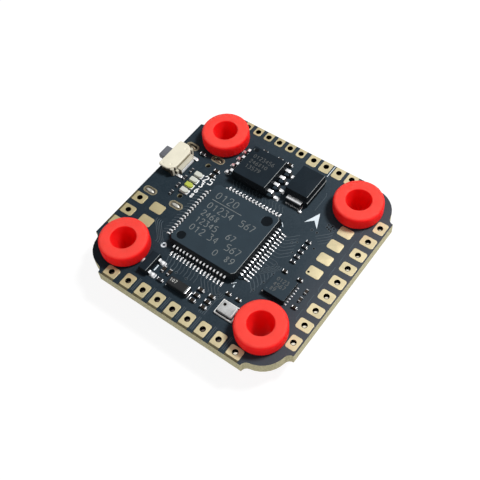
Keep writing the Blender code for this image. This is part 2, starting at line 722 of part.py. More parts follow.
def add_status_lights():
    """Each light is a thin base with a tapered resin block between its two terminals."""
    half = LIGHT_LENGTH / 2
    lens = LIGHT_LENS / 2
    section = [
        (-half, SEAT_GAP), (half, SEAT_GAP), (half, LIGHT_BASE_HEIGHT), (lens, LIGHT_BASE_HEIGHT),
        (lens - LIGHT_LENS_TAPER, LIGHT_HEIGHT), (LIGHT_LENS_TAPER - lens, LIGHT_HEIGHT),
        (-lens, LIGHT_BASE_HEIGHT), (-half, LIGHT_BASE_HEIGHT),
    ]
    resin = finish("cream_resin", (0.85, 0.85, 0.75), 0.35)
    for i in range(LIGHT_COUNT):
        mesh = bmesh.new()
        prism(mesh, section, -LIGHT_WIDTH / 2, LIGHT_WIDTH / 2, EXTRUDED_ALONG_Y)
        place = (from_left(LIGHT_FROM_LEFT), from_front(LIGHT_FROM_FRONT) - i * LIGHT_PITCH, 0.0)
        add_part(f"status_light_{i + 1}", mesh, resin, place)


def chip_places():
    """Name, size, place and direction of every small chip. True means that it lies along Y."""
    found = []
    for i in range(LIGHT_COUNT):
        y = from_front(LIGHT_RESISTOR_FROM_FRONT) - i * LIGHT_RESISTOR_PITCH
        found.append((f"light_resistor_{i + 1}", TINY_CHIP, from_left(LIGHT_RESISTOR_FROM_LEFT), y, True))
    y = DAMPER_EDGE - SWITCH_RESISTOR_FROM_DAMPER - CHIP[1] / 2
    found.append(("switch_resistor", CHIP, from_left(SWITCH_RESISTOR_FROM_LEFT), y, False))
    for i in range(2):
        y = from_front(LOGIC_CHIP_FROM_FRONT) - i * LOGIC_CHIP_PITCH
        found.append((f"logic_capacitor_{i + 1}", CHIP, from_left(LOGIC_CHIP_FROM_LEFT), y, False))
    x, y = flash_place()
    for i, step in enumerate(FLASH_CHIP_STEPS):
        beyond = y + FLASH_BODY / 2 + FLASH_CHIP_GAP + CHIP[1] / 2
        found.append((f"flash_capacitor_{i + 1}", CHIP, x + step, beyond, False))
    for i in range(SENSOR_CHIP_COUNT):
        y = from_front(SENSOR_CHIP_FROM_FRONT) - i * SENSOR_CHIP_PITCH
        found.append((f"sensor_resistor_{i + 1}", TINY_CHIP, from_right(SENSOR_CHIP_FROM_RIGHT), y, False))
    x, y = gyro_place()
    for i, step in enumerate(GYRO_CHIP_STEPS):
        beyond = y + GYRO_SIZE / 2 + GYRO_CHIP_GAP + TINY_CHIP[1] / 2
        found.append((f"gyro_capacitor_{i + 1}", TINY_CHIP, x + step, beyond, False))
    for i in range(EDGE_CHIP_COUNT):
        y = from_rear(EDGE_CHIP_FIRST - i * EDGE_CHIP_PITCH)
        along = i < EDGE_CHIP_COUNT - 1
        found.append((f"edge_capacitor_{i + 1}", TINY_CHIP, from_right(EDGE_CHIP_FROM_RIGHT), y, along))
    first = supply_place()[0] + SUPPLY_LENGTH / 2 + BLOCK_CHIP_FROM_SUPPLY
    for i in range(6):
        x = first + (i // 3) * BLOCK_CHIP_COLUMN
        y = from_rear(BLOCK_CHIP_FROM_REAR + (i % 3) * BLOCK_CHIP_ROW)
        found.append((f"filter_capacitor_{i + 1}", CHIP, x, y, False))
    x, y = barometer_place()
    for i, step in enumerate(BAROMETER_CHIP_STEPS):
        beyond = y + BAROMETER_WIDTH / 2 + BAROMETER_CHIP_GAP + TINY_CHIP[1] / 2
        found.append((f"barometer_capacitor_{i + 1}", TINY_CHIP, x + step, beyond, False))
    tip = regulator_place()[0] + SMALL_CHIP_WIDTH / 2 + lead_reach(SMALL_CHIP_LEAD)
    x = tip + REGULATOR_CHIP_GAP + CHIP[1] / 2
    for i in range(2):
        y = from_rear(REGULATOR_CHIP_FROM_REAR)
        found.append((f"regulator_capacitor_{i + 1}", CHIP, x + i * REGULATOR_CHIP_STEP, y, True))
    low = from_rear(REGULATOR_LOW_CHIP_FROM_REAR)
    found.append(("regulator_resistor", CHIP, x + REGULATOR_LOW_CHIP_STEP, low, False))
    return found


def add_small_chips():
    body = finish("chip_body", (0.12, 0.1, 0.09), 0.5)
    for name, size, x, y, lengthways in chip_places():
        add_chip(name, size, (x, y, 0.0), lengthways, body)


def switch_outline(depth, width):
    """The switch seen from above: square at the front face, x = 0, with its rear corners cut off."""
    half = width / 2
    cut = SWITCH_CHAMFER
    return [
        (0.0, -half), (depth - cut, -half), (depth, cut - half),
        (depth, half - cut), (depth - cut, half), (0.0, half),
    ]


def add_boot_switch():
    """A side-push switch: housing, lid, sliding button with a collar inside the wall, spring and legs."""
    place = (from_left(SWITCH_FROM_LEFT), from_front(SWITCH_FROM_FRONT), 0.0)
    ivory = ivory_moulding()
    rim = SWITCH_HEIGHT - SWITCH_LID - SEAT_GAP
    half_inside = SWITCH_WIDTH / 2 - SWITCH_SIDE_WALL
    half_window = BUTTON_WIDTH / 2 + RUN_CLEARANCE
    back = SWITCH_DEPTH - SWITCH_REAR_WALL
    half_shelf = SWITCH_SHELF_WIDTH / 2

    mesh = bmesh.new()
    prism(mesh, switch_outline(SWITCH_DEPTH, SWITCH_WIDTH), SEAT_GAP, rim)
    housing = add_part("switch_housing", mesh, ivory, place)
    shelf = bmesh.new()
    shelf_start = SWITCH_DEPTH - SWITCH_REAR_WALL / 2
    box(shelf, (shelf_start, SWITCH_DEPTH + SWITCH_SHELF_DEPTH), (-half_shelf, half_shelf),
        (SEAT_GAP + RUN_CLEARANCE, SWITCH_SHELF_HEIGHT))
    combine(housing, "shelf", shelf, "UNION")
    hollow = bmesh.new()
    prism(hollow, [
        (-SWITCH_FRONT_WALL, -half_window), (SWITCH_FRONT_WALL, -half_window),
        (SWITCH_FRONT_WALL, -half_inside), (back, -half_inside),
        (back, half_inside), (SWITCH_FRONT_WALL, half_inside),
        (SWITCH_FRONT_WALL, half_window), (-SWITCH_FRONT_WALL, half_window),
    ], SWITCH_FLOOR, SWITCH_HEIGHT)
    combine(housing, "hollow", hollow, "DIFFERENCE")

    slots = bmesh.new()
    for name, side in (("rear", -1), ("front", 1)):
        middle = side * SWITCH_LEG_SPACING / 2
        half_leg = SWITCH_LEG_WIDTH / 2
        start = SWITCH_DEPTH - SWITCH_LEG_GRIP
        end = SWITCH_DEPTH + SWITCH_LEG_REACH
        leg_top = SEAT_GAP + SWITCH_LEG_THICKNESS
        leg = bmesh.new()
        box(leg, (start, end), (middle - half_leg, middle + half_leg), (SEAT_GAP, leg_top))
        add_part(f"switch_leg_{name}", leg, bright_tin(), place)
        half_slot = half_leg + SEAT_GAP
        slot_heights = (-SEAT_GAP, leg_top + SEAT_GAP)
        box(slots, (start - SEAT_GAP, end), (middle - half_slot, middle + half_slot), slot_heights)
    combine(housing, "slots", slots, "DIFFERENCE")

    mesh = bmesh.new()
    prism(mesh, switch_outline(SWITCH_DEPTH, SWITCH_WIDTH), SWITCH_HEIGHT - SWITCH_LID, SWITCH_HEIGHT)
    add_part("switch_lid", mesh, ivory, place)

    low = SWITCH_FLOOR + RUN_CLEARANCE
    high = rim - RUN_CLEARANCE
    half_button = BUTTON_WIDTH / 2
    half_collar = half_button + BUTTON_COLLAR
    collar = SWITCH_FRONT_WALL + RUN_CLEARANCE
    collar_back = collar + BUTTON_COLLAR_DEPTH
    mesh = bmesh.new()
    prism(mesh, [
        (-BUTTON_REACH, BUTTON_CORNER - half_button), (BUTTON_CORNER - BUTTON_REACH, -half_button),
        (collar, -half_button), (collar, -half_collar), (collar_back, -half_collar),
        (collar_back, half_collar), (collar, half_collar), (collar, half_button),
        (BUTTON_CORNER - BUTTON_REACH, half_button), (-BUTTON_REACH, half_button - BUTTON_CORNER),
    ], (low - high) / 2, (high - low) / 2)
    grey = finish("grey_plastic", (0.16, 0.17, 0.2), 0.45)
    add_part("switch_button", mesh, grey, (*place[:2], (low + high) / 2))

    apex = collar_back + BUTTON_TRAVEL + RUN_CLEARANCE
    ends = back - SEAT_GAP - SPRING_THICKNESS
    half_span = SPRING_SPAN / 2
    steps = [2 * i / SPRING_STEPS - 1 for i in range(SPRING_STEPS + 1)]
    bow = [(apex + (ends - apex) * t * t, t * half_span) for t in steps]
    mesh = bmesh.new()
    prism(mesh, bow[::-1] + [(x + SPRING_THICKNESS, y) for x, y in bow], low, high)
    add_part("switch_spring", mesh, bright_tin(), place)


def add_data_socket():
    """A flat-sided oval shell with four legs into the board, and the contact block with its tongue."""
    across, rear = socket_centre()
    mouth = rear - SOCKET_DEPTH
    middle = UNDERSIDE - SEAT_GAP - SOCKET_HEIGHT / 2
    inner_width = SOCKET_WIDTH - 2 * SOCKET_WALL
    inner_height = SOCKET_HEIGHT - 2 * SOCKET_WALL
    place = (0.0, 0.0, 0.0)

    mesh = bmesh.new()
    outer_loop = stadium((across, middle), SOCKET_WIDTH, SOCKET_HEIGHT, SOCKET_ROUND_STEPS)
    inner_loop = stadium((across, middle), inner_width, inner_height, SOCKET_ROUND_STEPS)
    plate(mesh, [outer_loop, inner_loop], mouth, rear)
    mesh.transform(EXTRUDED_ALONG_X)
    shell = add_part("socket_shell", mesh, finish("plated_steel", (0.72, 0.72, 0.72), 0.3, 1.0), place)
    legs = bmesh.new()
    half_leg = SOCKET_LEG_LENGTH / 2
    half_thick = SOCKET_WALL / 2
    for x, y in socket_legs():
        box(legs, (x - half_leg, x + half_leg), (y - half_thick, y + half_thick), (middle, -SEAT_GAP))
    combine(shell, "legs", legs, "UNION")
    notch = bmesh.new()
    half_notch = (SOCKET_PEG_SPACING + SOCKET_PEG) / 2 + SOCKET_NOTCH_MARGIN
    roof = middle + inner_height / 2 - SOCKET_WALL
    box(notch, (rear - SOCKET_NOTCH_DEPTH, rear + SOCKET_WALL), (across - half_notch, across + half_notch),
        (roof, UNDERSIDE + SOCKET_WALL))
    combine(shell, "notch", notch, "DIFFERENCE")

    fit = 2 * SEAT_GAP
    mesh = bmesh.new()
    profile = stadium((across, middle), inner_width - fit, inner_height - fit, SOCKET_ROUND_STEPS)
    prism(mesh, profile, rear - SOCKET_BLOCK_DEPTH, rear, EXTRUDED_ALONG_X)
    black = finish("black_moulding", (0.02, 0.02, 0.022), 0.5)
    block = add_part("socket_contact_block", mesh, black, place)
    extras = bmesh.new()
    half_tongue = SOCKET_TONGUE_WIDTH / 2
    half_thick = SOCKET_TONGUE_THICKNESS / 2
    root = rear - SOCKET_BLOCK_DEPTH + SOCKET_WALL
    box(extras, (mouth + SOCKET_TONGUE_RECESS, root), (across - half_tongue, across + half_tongue),
        (middle - half_thick, middle + half_thick))
    peg_foot = middle + half_thick + SOCKET_WALL
    for peg in socket_pegs():
        prism(extras, ring(peg, SOCKET_PEG, HOLE_SIDES), peg_foot, UNDERSIDE / 2)
    seat = UNDERSIDE - SEAT_GAP
    bend = rear + SOCKET_TAIL_THICKNESS + RUN_CLEARANCE
    inside = rear - SOCKET_WALL
    start = middle + half_thick
    tail = [
        (inside, start), (bend, start), (bend, seat - SOCKET_TAIL_THICKNESS),
        (rear + SOCKET_TAIL_REACH, seat - SOCKET_TAIL_THICKNESS), (rear + SOCKET_TAIL_REACH, seat),
        (bend - SOCKET_TAIL_THICKNESS, seat), (bend - SOCKET_TAIL_THICKNESS, start + SOCKET_TAIL_THICKNESS),
        (inside, start + SOCKET_TAIL_THICKNESS),
    ]
    for y in lead_places(SOCKET_TAIL_COUNT, SOCKET_TAIL_PITCH):
        low = -(across + y + SOCKET_TAIL_WIDTH / 2)
        prism(extras, tail, low, low + SOCKET_TAIL_WIDTH, EXTRUDED_ALONG_Y)
    combine(block, "extras", extras, "UNION")


def main():
    clear_scene()
    add_assembly()
    add_board()
    add_dampers()
    add_leaded_chips()
    add_blocks()
    add_barometer()
    add_status_lights()
    add_small_chips()
    add_boot_switch()
    add_data_socket()


main()
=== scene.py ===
"""Flight controller board: dresses the packed model with finer pieces, finishes, light and a camera.

Places are in millimetres from the middle of the mounting holes, on the board's top face: x right, y front,
z up.
"""
import json
import math

import bmesh
import bpy
import numpy as np
from bpy.props import FloatProperty, FloatVectorProperty, PointerProperty
from mathutils import Matrix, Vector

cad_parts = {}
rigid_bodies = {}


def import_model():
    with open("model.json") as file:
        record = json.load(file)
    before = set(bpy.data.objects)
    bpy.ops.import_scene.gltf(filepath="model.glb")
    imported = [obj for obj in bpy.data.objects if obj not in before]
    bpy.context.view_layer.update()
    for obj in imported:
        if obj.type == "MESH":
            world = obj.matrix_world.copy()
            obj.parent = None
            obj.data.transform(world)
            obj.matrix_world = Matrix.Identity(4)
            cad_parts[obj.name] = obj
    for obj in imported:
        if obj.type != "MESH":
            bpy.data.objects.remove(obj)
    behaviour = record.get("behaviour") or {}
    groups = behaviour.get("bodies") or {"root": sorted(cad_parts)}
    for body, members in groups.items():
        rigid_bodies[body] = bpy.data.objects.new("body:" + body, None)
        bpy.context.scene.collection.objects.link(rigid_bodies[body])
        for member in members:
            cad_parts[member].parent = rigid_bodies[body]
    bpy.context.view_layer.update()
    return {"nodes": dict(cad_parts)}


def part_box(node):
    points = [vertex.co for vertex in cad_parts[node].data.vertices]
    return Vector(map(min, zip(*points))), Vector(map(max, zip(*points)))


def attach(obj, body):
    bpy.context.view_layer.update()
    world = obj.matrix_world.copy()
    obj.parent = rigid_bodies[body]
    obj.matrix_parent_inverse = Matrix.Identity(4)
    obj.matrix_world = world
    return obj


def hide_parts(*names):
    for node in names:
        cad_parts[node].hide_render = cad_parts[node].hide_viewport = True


for leftover in list(bpy.data.objects):
    bpy.data.objects.remove(leftover)
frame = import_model()

bl_info = {
    "name": "Flight Controller Board",
    "version": (1, 0, 0),
    "blender": (4, 5, 0),
    "location": "View3D > Sidebar > Flight Board",
    "description": "Builds a flight controller board with its chips, dampers, switch and socket",
    "category": "Add Mesh",
}

MM = 0.001
DAMPERS = [f"damper_{place}" for place in ("rear_left", "rear_right", "front_right", "front_left")]
BOARD_LOW, BOARD_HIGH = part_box("circuit_board")
HOLE_SQUARE = np.array([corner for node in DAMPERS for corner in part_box(node)]).mean(0)
ORIGIN = np.array([*HOLE_SQUARE[:2], BOARD_HIGH.z])
THICK = (BOARD_HIGH.z - BOARD_LOW.z) / MM
ACROSS_Y = np.array([0.0, 1.0, 0.0])
ACROSS_Z = np.array([0.0, 0.0, 1.0])
LYING_LEFT = np.array([[0.0, 1.0, 0.0], [0.0, 0.0, 1.0], [-1.0, 0.0, 0.0]])
UNDER = np.array([1.0, -1.0])  # turns a place over to the underside
SUNK = -0.02  # lands and pads start below the board's face
INK_FOOT = -0.01  # so do printing and tracks
FILM = 0.004  # thickness of printing on chips, and of thin discs
LAND = (SUNK, 0.05, 0.03)  # foot, height and edge round of a soldered land
LEAD_PITCH = 0.5  # between the processor's leads
PAD_STEP = 2.22  # between pads along an edge
PAD_FAR = 13.47  # from the middle to the holes of a row of pads
CORNER_PAD_FAR = 13.65  # and to those of the pads at its ends
LEG_X = (-13.1, -8.92)  # places of the data socket's legs along x
CRISP, ROUND = 20.0, 38.0  # edges of plating, and of other pieces, stay sharp above these angles


def span(node):
    """Low and high corner of a CAD node, in millimetres from the middle of the mounting holes."""
    low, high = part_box(node)
    return (np.array(low) - ORIGIN) / MM, (np.array(high) - ORIGIN) / MM


def middle(node):
    """Middle of a CAD node seen from above."""
    low, high = span(node)
    return (low[:2] + high[:2]) / 2


def named(stem, count):
    """Names of numbered nodes: the stem with 1 up to the count."""
    return [f"{stem}_{number + 1}" for number in range(count)]


# Sizes and colours that a user would change


def length(label, words, millimetres):
    """A length property."""
    return FloatProperty(name=label, description=words, default=millimetres * MM, min=0.0, precision=6,
                         unit="LENGTH")


def angle(label, words, degrees):
    """An angle property."""
    return FloatProperty(name=label, description=words, default=math.radians(degrees), subtype="ANGLE")


def amount(label, words, value):
    """A plain number property."""
    return FloatProperty(name=label, description=words, default=value, min=0.0)


def colour(label, words, value):
    """A colour property."""
    return FloatVectorProperty(name=label, description=words, default=value, size=3, min=0.0, max=1.0,
                               subtype="COLOR")


class BoardLook(bpy.types.PropertyGroup):
    """Coatings and printing of the circuit board."""
    mask: colour("Solder mask", "Coating of both faces", (0.017, 0.033, 0.047))
    laminate: colour("Laminate", "Bare glass and resin at the board's edges", (0.575, 0.53, 0.335))
    gold: colour("Gold", "Plating of the pads", (0.595, 0.515, 0.32))
    ink: colour("Ink", "Printed marks", (0.68, 0.76, 0.81))
    pad_rise: length("Pad rise", "How far a pad stands above the board", 0.035)
    ink_rise: length("Ink rise", "Thickness of the printed marks", 0.012)
    track: colour("Tracks", "Coating where copper lies under it", (0.046, 0.064, 0.078))
    track_width: length("Track width", "Width of the copper tracks under the mask", 0.11)
    track_rise: length("Track rise", "How far a track lifts the mask", 0.016)


class DamperLook(bpy.types.PropertyGroup):
    """Rubber dampers."""
    rubber: colour("Rubber", "Colour of the dampers", (0.93, 0.070, 0.055))
    rim_round: length("Rim round", "Radius of the outer top edge", 0.40)
    seat_round: length("Seat round", "Radius of the edge towards the board", 0.50)
    bore: length("Bore", "Diameter of the bolt hole at the top", 3.1)
    bore_foot: length("Bore foot", "Diameter of the bolt hole at the foot", 2.04)


class ChipLook(bpy.types.PropertyGroup):
    """Chips, their leads and solder."""
    epoxy: colour("Epoxy", "Moulding compound of the processor and gyro", (0.023, 0.037, 0.049))
    matt_epoxy: colour("Matt epoxy", "Moulding compound of the other chips", (0.009, 0.015, 0.021))
    print: colour("Print", "Numbers on the chips", (0.15, 0.165, 0.165))
    tin: colour("Tin", "Leads and terminals", (0.86, 0.87, 0.88))
    ceramic: colour("Ceramic", "Pale bases of the lights and the crystal", (0.70, 0.69, 0.64))
    resistor: colour("Resistor", "Glaze of the chip resistors", (0.022, 0.024, 0.028))
    capacitor: colour("Capacitor", "Bodies of the chip capacitors", (0.024, 0.019, 0.015))
    iron: colour("Iron", "Pressed powder of the inductor", (0.060, 0.062, 0.068))
    edge: length("Edge round", "Radius of the chips' top edges", 0.06)


class LightLook(bpy.types.PropertyGroup):
    """Status lights."""
    cream: colour("Cream resin", "Lens of three of the lights", (0.60, 0.61, 0.54))
    lime: colour("Lime resin", "Lens of the third light", (0.46, 0.52, 0.07))
    lens: length("Lens length", "Length of the resin block", 1.18)


class SwitchLook(bpy.types.PropertyGroup):
    """Boot switch."""
    ivory: colour("Ivory", "Housing and lid", (0.76, 0.72, 0.58))
    grey: colour("Grey", "Push button", (0.115, 0.12, 0.14))
    wall: length("Wall", "Thickness of the housing wall", 0.32)
    edge: length("Edge round", "Radius of the lid's edges", 0.09)


class SocketLook(bpy.types.PropertyGroup):
    """Data socket."""
    steel: colour("Steel", "Plated shell", (0.70, 0.70, 0.69))
    moulding: colour("Moulding", "Contact block", (0.020, 0.020, 0.022))
    wall: length("Wall", "Thickness of the shell", 0.30)


class StageLook(bpy.types.PropertyGroup):
    """Camera and light."""
    azimuth: angle("Azimuth", "Turn of the camera about the vertical, from the rear edge", 42.281)
    elevation: angle("Elevation", "Height of the camera above the board's plane", 56.109)
    roll: angle("Roll", "Turn of the camera about its own axis", -6.825)
    distance: length("Distance", "From the camera to the board", 92.995)
    lens: FloatProperty(name="Lens", description="Focal length for a 36 mm film", default=58.39,
                        unit="CAMERA")
    key: amount("Key light", "Power of the lamp above the front right, in watts", 0.73)
    fill: amount("Fill light", "Power of the wide low lamp at the rear, in watts", 0.17)
    sky: amount("Sky", "Strength of the light from all around", 0.15)
    floor: colour("Floor", "Colour of the floor", (0.80, 0.80, 0.80))


# Shapes


class Shape:
    """Grid surfaces collected for one mesh."""

    def __init__(self, *grids, loop=False):
        self.points, self.faces, self.count = [], [], 0
        for points in grids:
            self.grid(points, loop)

    def grid(self, points, loop=False):
        """Joins a grid of points into quads: rows to rows, and along each row, which closes on itself.

        A loop also joins the last row to the first. Otherwise fans to their middles close the end rows.
        Leading axes of the array are copies.
        """
        rows, columns = points.shape[-3:-1]
        copies = points.reshape(-1, rows, columns, 3)
        first = self.count + np.arange(len(copies))[:, None, None] * rows * columns
        i = np.arange(rows if loop else rows - 1)[:, None]
        j = np.arange(columns)[None, :]
        i_next, j_next = (i + 1) % rows, (j + 1) % columns
        corners = [(i, j), (i, j_next), (i_next, j_next), (i_next, j)]
        self.faces += np.stack([first + a * columns + b for a, b in corners], -1).reshape(-1, 4).tolist()
        self.points.append(copies.reshape(-1, 3))
        self.count += len(self.points[-1])
        ends = () if loop else (0, rows - 1)
        for row in ends:
            hub = self.count + np.arange(len(copies))[:, None] + 0 * j
            ring = first[:, 0] + row * columns
            self.faces += np.stack([ring + j, ring + j_next, hub], -1).reshape(-1, 3).tolist()
            self.points.append(copies[:, row].mean(1))
            self.count += len(copies)

    def make(self, name, look, slot=None, replaces=(), body="board", sharp=ROUND):
        """Makes the mesh in a finish, turns its faces outwards and hands the piece to its CAD body."""
        mesh = bpy.data.meshes.new(name)
        mesh.from_pydata((np.concatenate(self.points) * MM + ORIGIN).tolist(), [], self.faces)
        work = bmesh.new()
        work.from_mesh(mesh)
        bmesh.ops.recalc_face_normals(work, faces=work.faces)
        work.to_mesh(mesh)
        work.free()
        mesh.shade_smooth()
        mesh.set_sharp_from_angle(angle=math.radians(sharp))
        mesh.materials.append(finish(look))
        made = bpy.data.objects.new(name, mesh)
        bpy.context.scene.collection.objects.link(made)
        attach(made, body)
        if replaces:
            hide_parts(*replaces)


def coated(node, material):
    """Gives a finish to a CAD node that is shown as it is."""
    slots = frame["nodes"][node].data.materials
    slots.clear()
    slots.append(material)


def rounded(half_x, half_y, radius, steps=4):
    """Outline of a rectangle whose corners are quarter circles, walked anticlockwise."""
    turn = np.radians(np.linspace(0, 90, steps + 1) + np.arange(4)[:, None] * 90)
    centre = np.array([[1, 1], [-1, 1], [-1, -1], [1, -1]]) * [half_x - radius, half_y - radius]
    return (centre[:, None] + radius * np.stack([np.cos(turn), np.sin(turn)], -1)).reshape(-1, 2)


def circle(radius, steps=6):
    """A circle: a square whose corners are rounded almost to its middle."""
    return rounded(radius, radius, radius - 0.001, steps)


def evened(outline, count):
    """The same closed outline with its points at even steps of its length."""
    ring = np.vstack([outline, outline[:1]])
    walked = np.concatenate([[0.0], np.cumsum(np.linalg.norm(np.diff(ring, axis=0), axis=1))])
    steps = np.linspace(0.0, walked[-1], count, endpoint=False)
    return np.column_stack([np.interp(steps, walked, ring[:, axis]) for axis in (0, 1)])


def bent(path, radius, steps=4, closed=False):
    """A path with each corner replaced by a curve that starts and ends one radius from it along the legs.

    The curve is (1-t)^2 a + 2t(1-t) corner + t^2 b.
    """
    path = np.asarray(path, float)
    t = np.linspace(0.0, 1.0, steps + 1)[:, None]
    if closed:
        path = np.vstack([path[-1:], path, path[:1]])
    rows = []
    for before, corner, after in zip(path[:-2], path[1:-1], path[2:]):
        legs = [end - corner for end in (before, after)]
        a, b = [corner + leg * min(0.5, radius / np.linalg.norm(leg)) for leg in legs]
        rows.append((1 - t) ** 2 * a + 2 * t * (1 - t) * corner + t ** 2 * b)
    return np.concatenate(rows if closed else [path[:1], *rows, path[-1:]])


def stacked(outline, levels):
    """Outlines stacked by height: each is scaled about its middle, so that its edge draws in by the inset."""
    low, high = outline.min(0), outline.max(0)
    centre, half = (low + high) / 2, (high - low) / 2
    levels = np.asarray(levels, float)
    flat = centre + (outline - centre) * (1 - levels[:, None, 1:] / half)
    height = np.broadcast_to(levels[:, :1], flat.shape[:2])
    return np.concatenate([flat, height[..., None]], -1)


def top_edge(high, edge, draft, steps):
    """Heights and insets of a quarter circle between the sides and the top face."""
    turn = np.radians(np.linspace(0, 90, steps))
    return np.column_stack([high - edge + edge * np.sin(turn), draft + edge * (1 - np.cos(turn))])


def soft_levels(low, high, edge, draft=0.0, foot=0.02):
    """Heights and insets of a block: a small foot, sides with draft, and a round top edge."""
    return np.vstack([[low, foot], [low + foot, 0.0], top_edge(high, edge, draft, 5)])


def moulded_levels(low, parting, high, edge, draft, ledge=0.0):
    """Heights and insets of a moulded chip: both halves draw in from the seam, and the top edge is round."""
    flat = 0.03
    seam = [[parting - flat, 0.0], [parting + flat, 0.0], [parting + flat + 0.01 + ledge, ledge]]
    return np.vstack([[low, draft], seam, top_edge(high, edge, draft, 4)])


def block(half_x, half_y, radius, low, high, edge, steps=4):
    """A block with round corners, a small foot and a round top edge."""
    return stacked(rounded(half_x, half_y, radius, steps), soft_levels(low, high, edge))


def prism(outline, low, high):
    """A block with straight sides."""
    return stacked(outline, [(low, 0.0), (high, 0.0)])


def tube(radius, share, start, end):
    """A straight tube, whose inner wall has a share of its radius."""
    wall = prism(circle(radius), start, end)
    return np.concatenate([wall, (wall * [share, share, 1.0])[::-1]])


def faced(points, rings):
    """Carries the last row inwards to its middle in even rings, so that the top face can be dished."""
    edge = points[-1]
    centre = edge.mean(0)
    share = np.linspace(1.0, 0.0, rings + 1)[1:-1, None, None]
    return np.concatenate([points, centre + (edge - centre) * share])


def dished(points, place, radius, depth, rim=0.1):
    """Lowers the top face inside a circle by the depth, with a smooth step of the rim's width."""
    away = np.hypot(points[..., 0] - place[0], points[..., 1] - place[1])
    step = np.clip((radius - away) / rim, 0.0, 1.0)
    fall = depth * step * step * (3 - 2 * step) * (points[..., 2] > points[..., 2].max() - 0.01)
    return points - fall[..., None] * ACROSS_Z


def dimpled(name, body, marks):
    """Sinks round marks into a chip's top face, and floors them with smooth discs, painted darker as shade,
    as a piece of their own.
    """
    top, depth, rim, floors = body[..., 2].max(), 0.04, 0.06, Shape()
    for place, radius in marks:
        body = dished(body, place, radius, depth, rim)
        floors.grid(disc(radius - rim / 2) + [*place, top - depth + FILM])
    floors.make(name, "polished_epoxy")
    return body


def disc(radius):
    """A thin disc with a soft rim: circles that draw in towards the middle."""
    insets = radius * (1 - np.linspace(1.0, 0.3, 3))
    levels = [(0.0, 0.0), *((FILM, inset) for inset in insets)]
    return stacked(rounded(radius, radius, radius * 0.999, 6), levels)


def revolved(profile, sides):
    """A closed profile of radius and height turned about the vertical."""
    turn = np.linspace(0.0, 2 * np.pi, sides, endpoint=False)[:, None]
    radius, height = np.asarray(profile, float).T
    return np.stack([radius * np.cos(turn), radius * np.sin(turn), height + 0 * turn], -1)


def carried(path, across, section):
    """A section carried along a path in one plane: its first axis square to the path, its second across."""
    path = np.asarray(path, float)
    along = np.gradient(path, axis=0)
    along /= np.linalg.norm(along, axis=1, keepdims=True)
    side = np.cross(across, along)
    return path[:, None] + side[:, None] * section[:, :1] + across * section[:, 1:]


def strip(path, width, low, high):
    """A flat strip along a path on the board: a low trapezium carried along it."""
    flat = np.asarray(path, float)
    half, crest = width / 2, width * 0.4
    section = np.array([[-half, low], [half, low], [crest, high], [-crest, high]])
    return carried(np.column_stack([flat, np.zeros(len(flat))]), ACROSS_Z, section)


def mound(half_x, half_y, height, low=0.0, rings=5, around=14):
    """A solder mound: an ellipse that draws in while its height follows a circle, up to a small crown."""
    crown = 78
    turn = np.radians(np.linspace(0, crown, rings))[:, None]
    way = np.linspace(0.0, 2 * np.pi, around, endpoint=False)[None, :]
    x, y = half_x * np.cos(turn) * np.cos(way), half_y * np.cos(turn) * np.sin(way)
    return np.stack([x, y, low + height * np.sin(turn) + 0 * way], -1)


def placed(points, places, turns=0.0):
    """Copies of a shape, each turned about the vertical by its angle in degrees and moved to its place."""
    places = np.asarray(places, float)
    turns = np.radians(np.broadcast_to(turns, len(places)))
    cos, sin, none = np.cos(turns), np.sin(turns), 0 * turns
    turn = np.stack([np.stack([cos, -sin, none], -1), np.stack([sin, cos, none], -1),
                     np.stack([none, none, none + 1], -1)], -2)
    move = np.column_stack([places, none])
    return np.einsum("kij,uvj->kuvi", turn, points) + move[:, None, None]


def turned(points, degrees):
    """Turns points about the vertical through the board's middle."""
    cos, sin = math.cos(math.radians(degrees)), math.sin(math.radians(degrees))
    return points @ np.array([[cos, sin, 0.0], [-sin, cos, 0.0], [0.0, 0.0, 1.0]])


def below(points):
    """Turns a shape over about the x axis, from the board's top face to its underside."""
    return points * [1.0, -1.0, -1.0] - ACROSS_Z * THICK


def lead_rows(centre, count, pitch, turns):
    """Places and turns of leads: even steps along each side, the side turned about the chip's middle."""
    steps = np.tile((np.arange(count) - (count - 1) / 2) * pitch, len(turns))
    turn = np.repeat(turns, count)
    way = np.radians(turn)
    return np.asarray(centre) + steps[:, None] * np.column_stack([-np.sin(way), np.cos(way)]), turn


def gull_wing(start, shoulder, slope, end, high, width, thick):
    """A bent lead: flat shoulder, slope down and flat foot, with a small rounded section."""
    low, bend = thick / 2 - SUNK, 0.12
    path = bent([(start, 0, high), (shoulder, 0, high), (slope, 0, low), (end, 0, low)], bend)
    return carried(path, ACROSS_Y, rounded(thick / 2, width / 2, thick * 0.25, 1))


def leaded(name, looks, rows, wing, joint, flip=np.asarray):
    """Makes a chip's leads in one finish, and the lands and solder under them in another."""
    for part, look, shapes in zip(("leads", "solder"), looks, ([wing], joint)):
        copies = [flip(placed(shape, *row)) for row in rows for shape in shapes]
        Shape(*copies).make(f"{name}_{part}", look, "bright_tin")


# Finishes


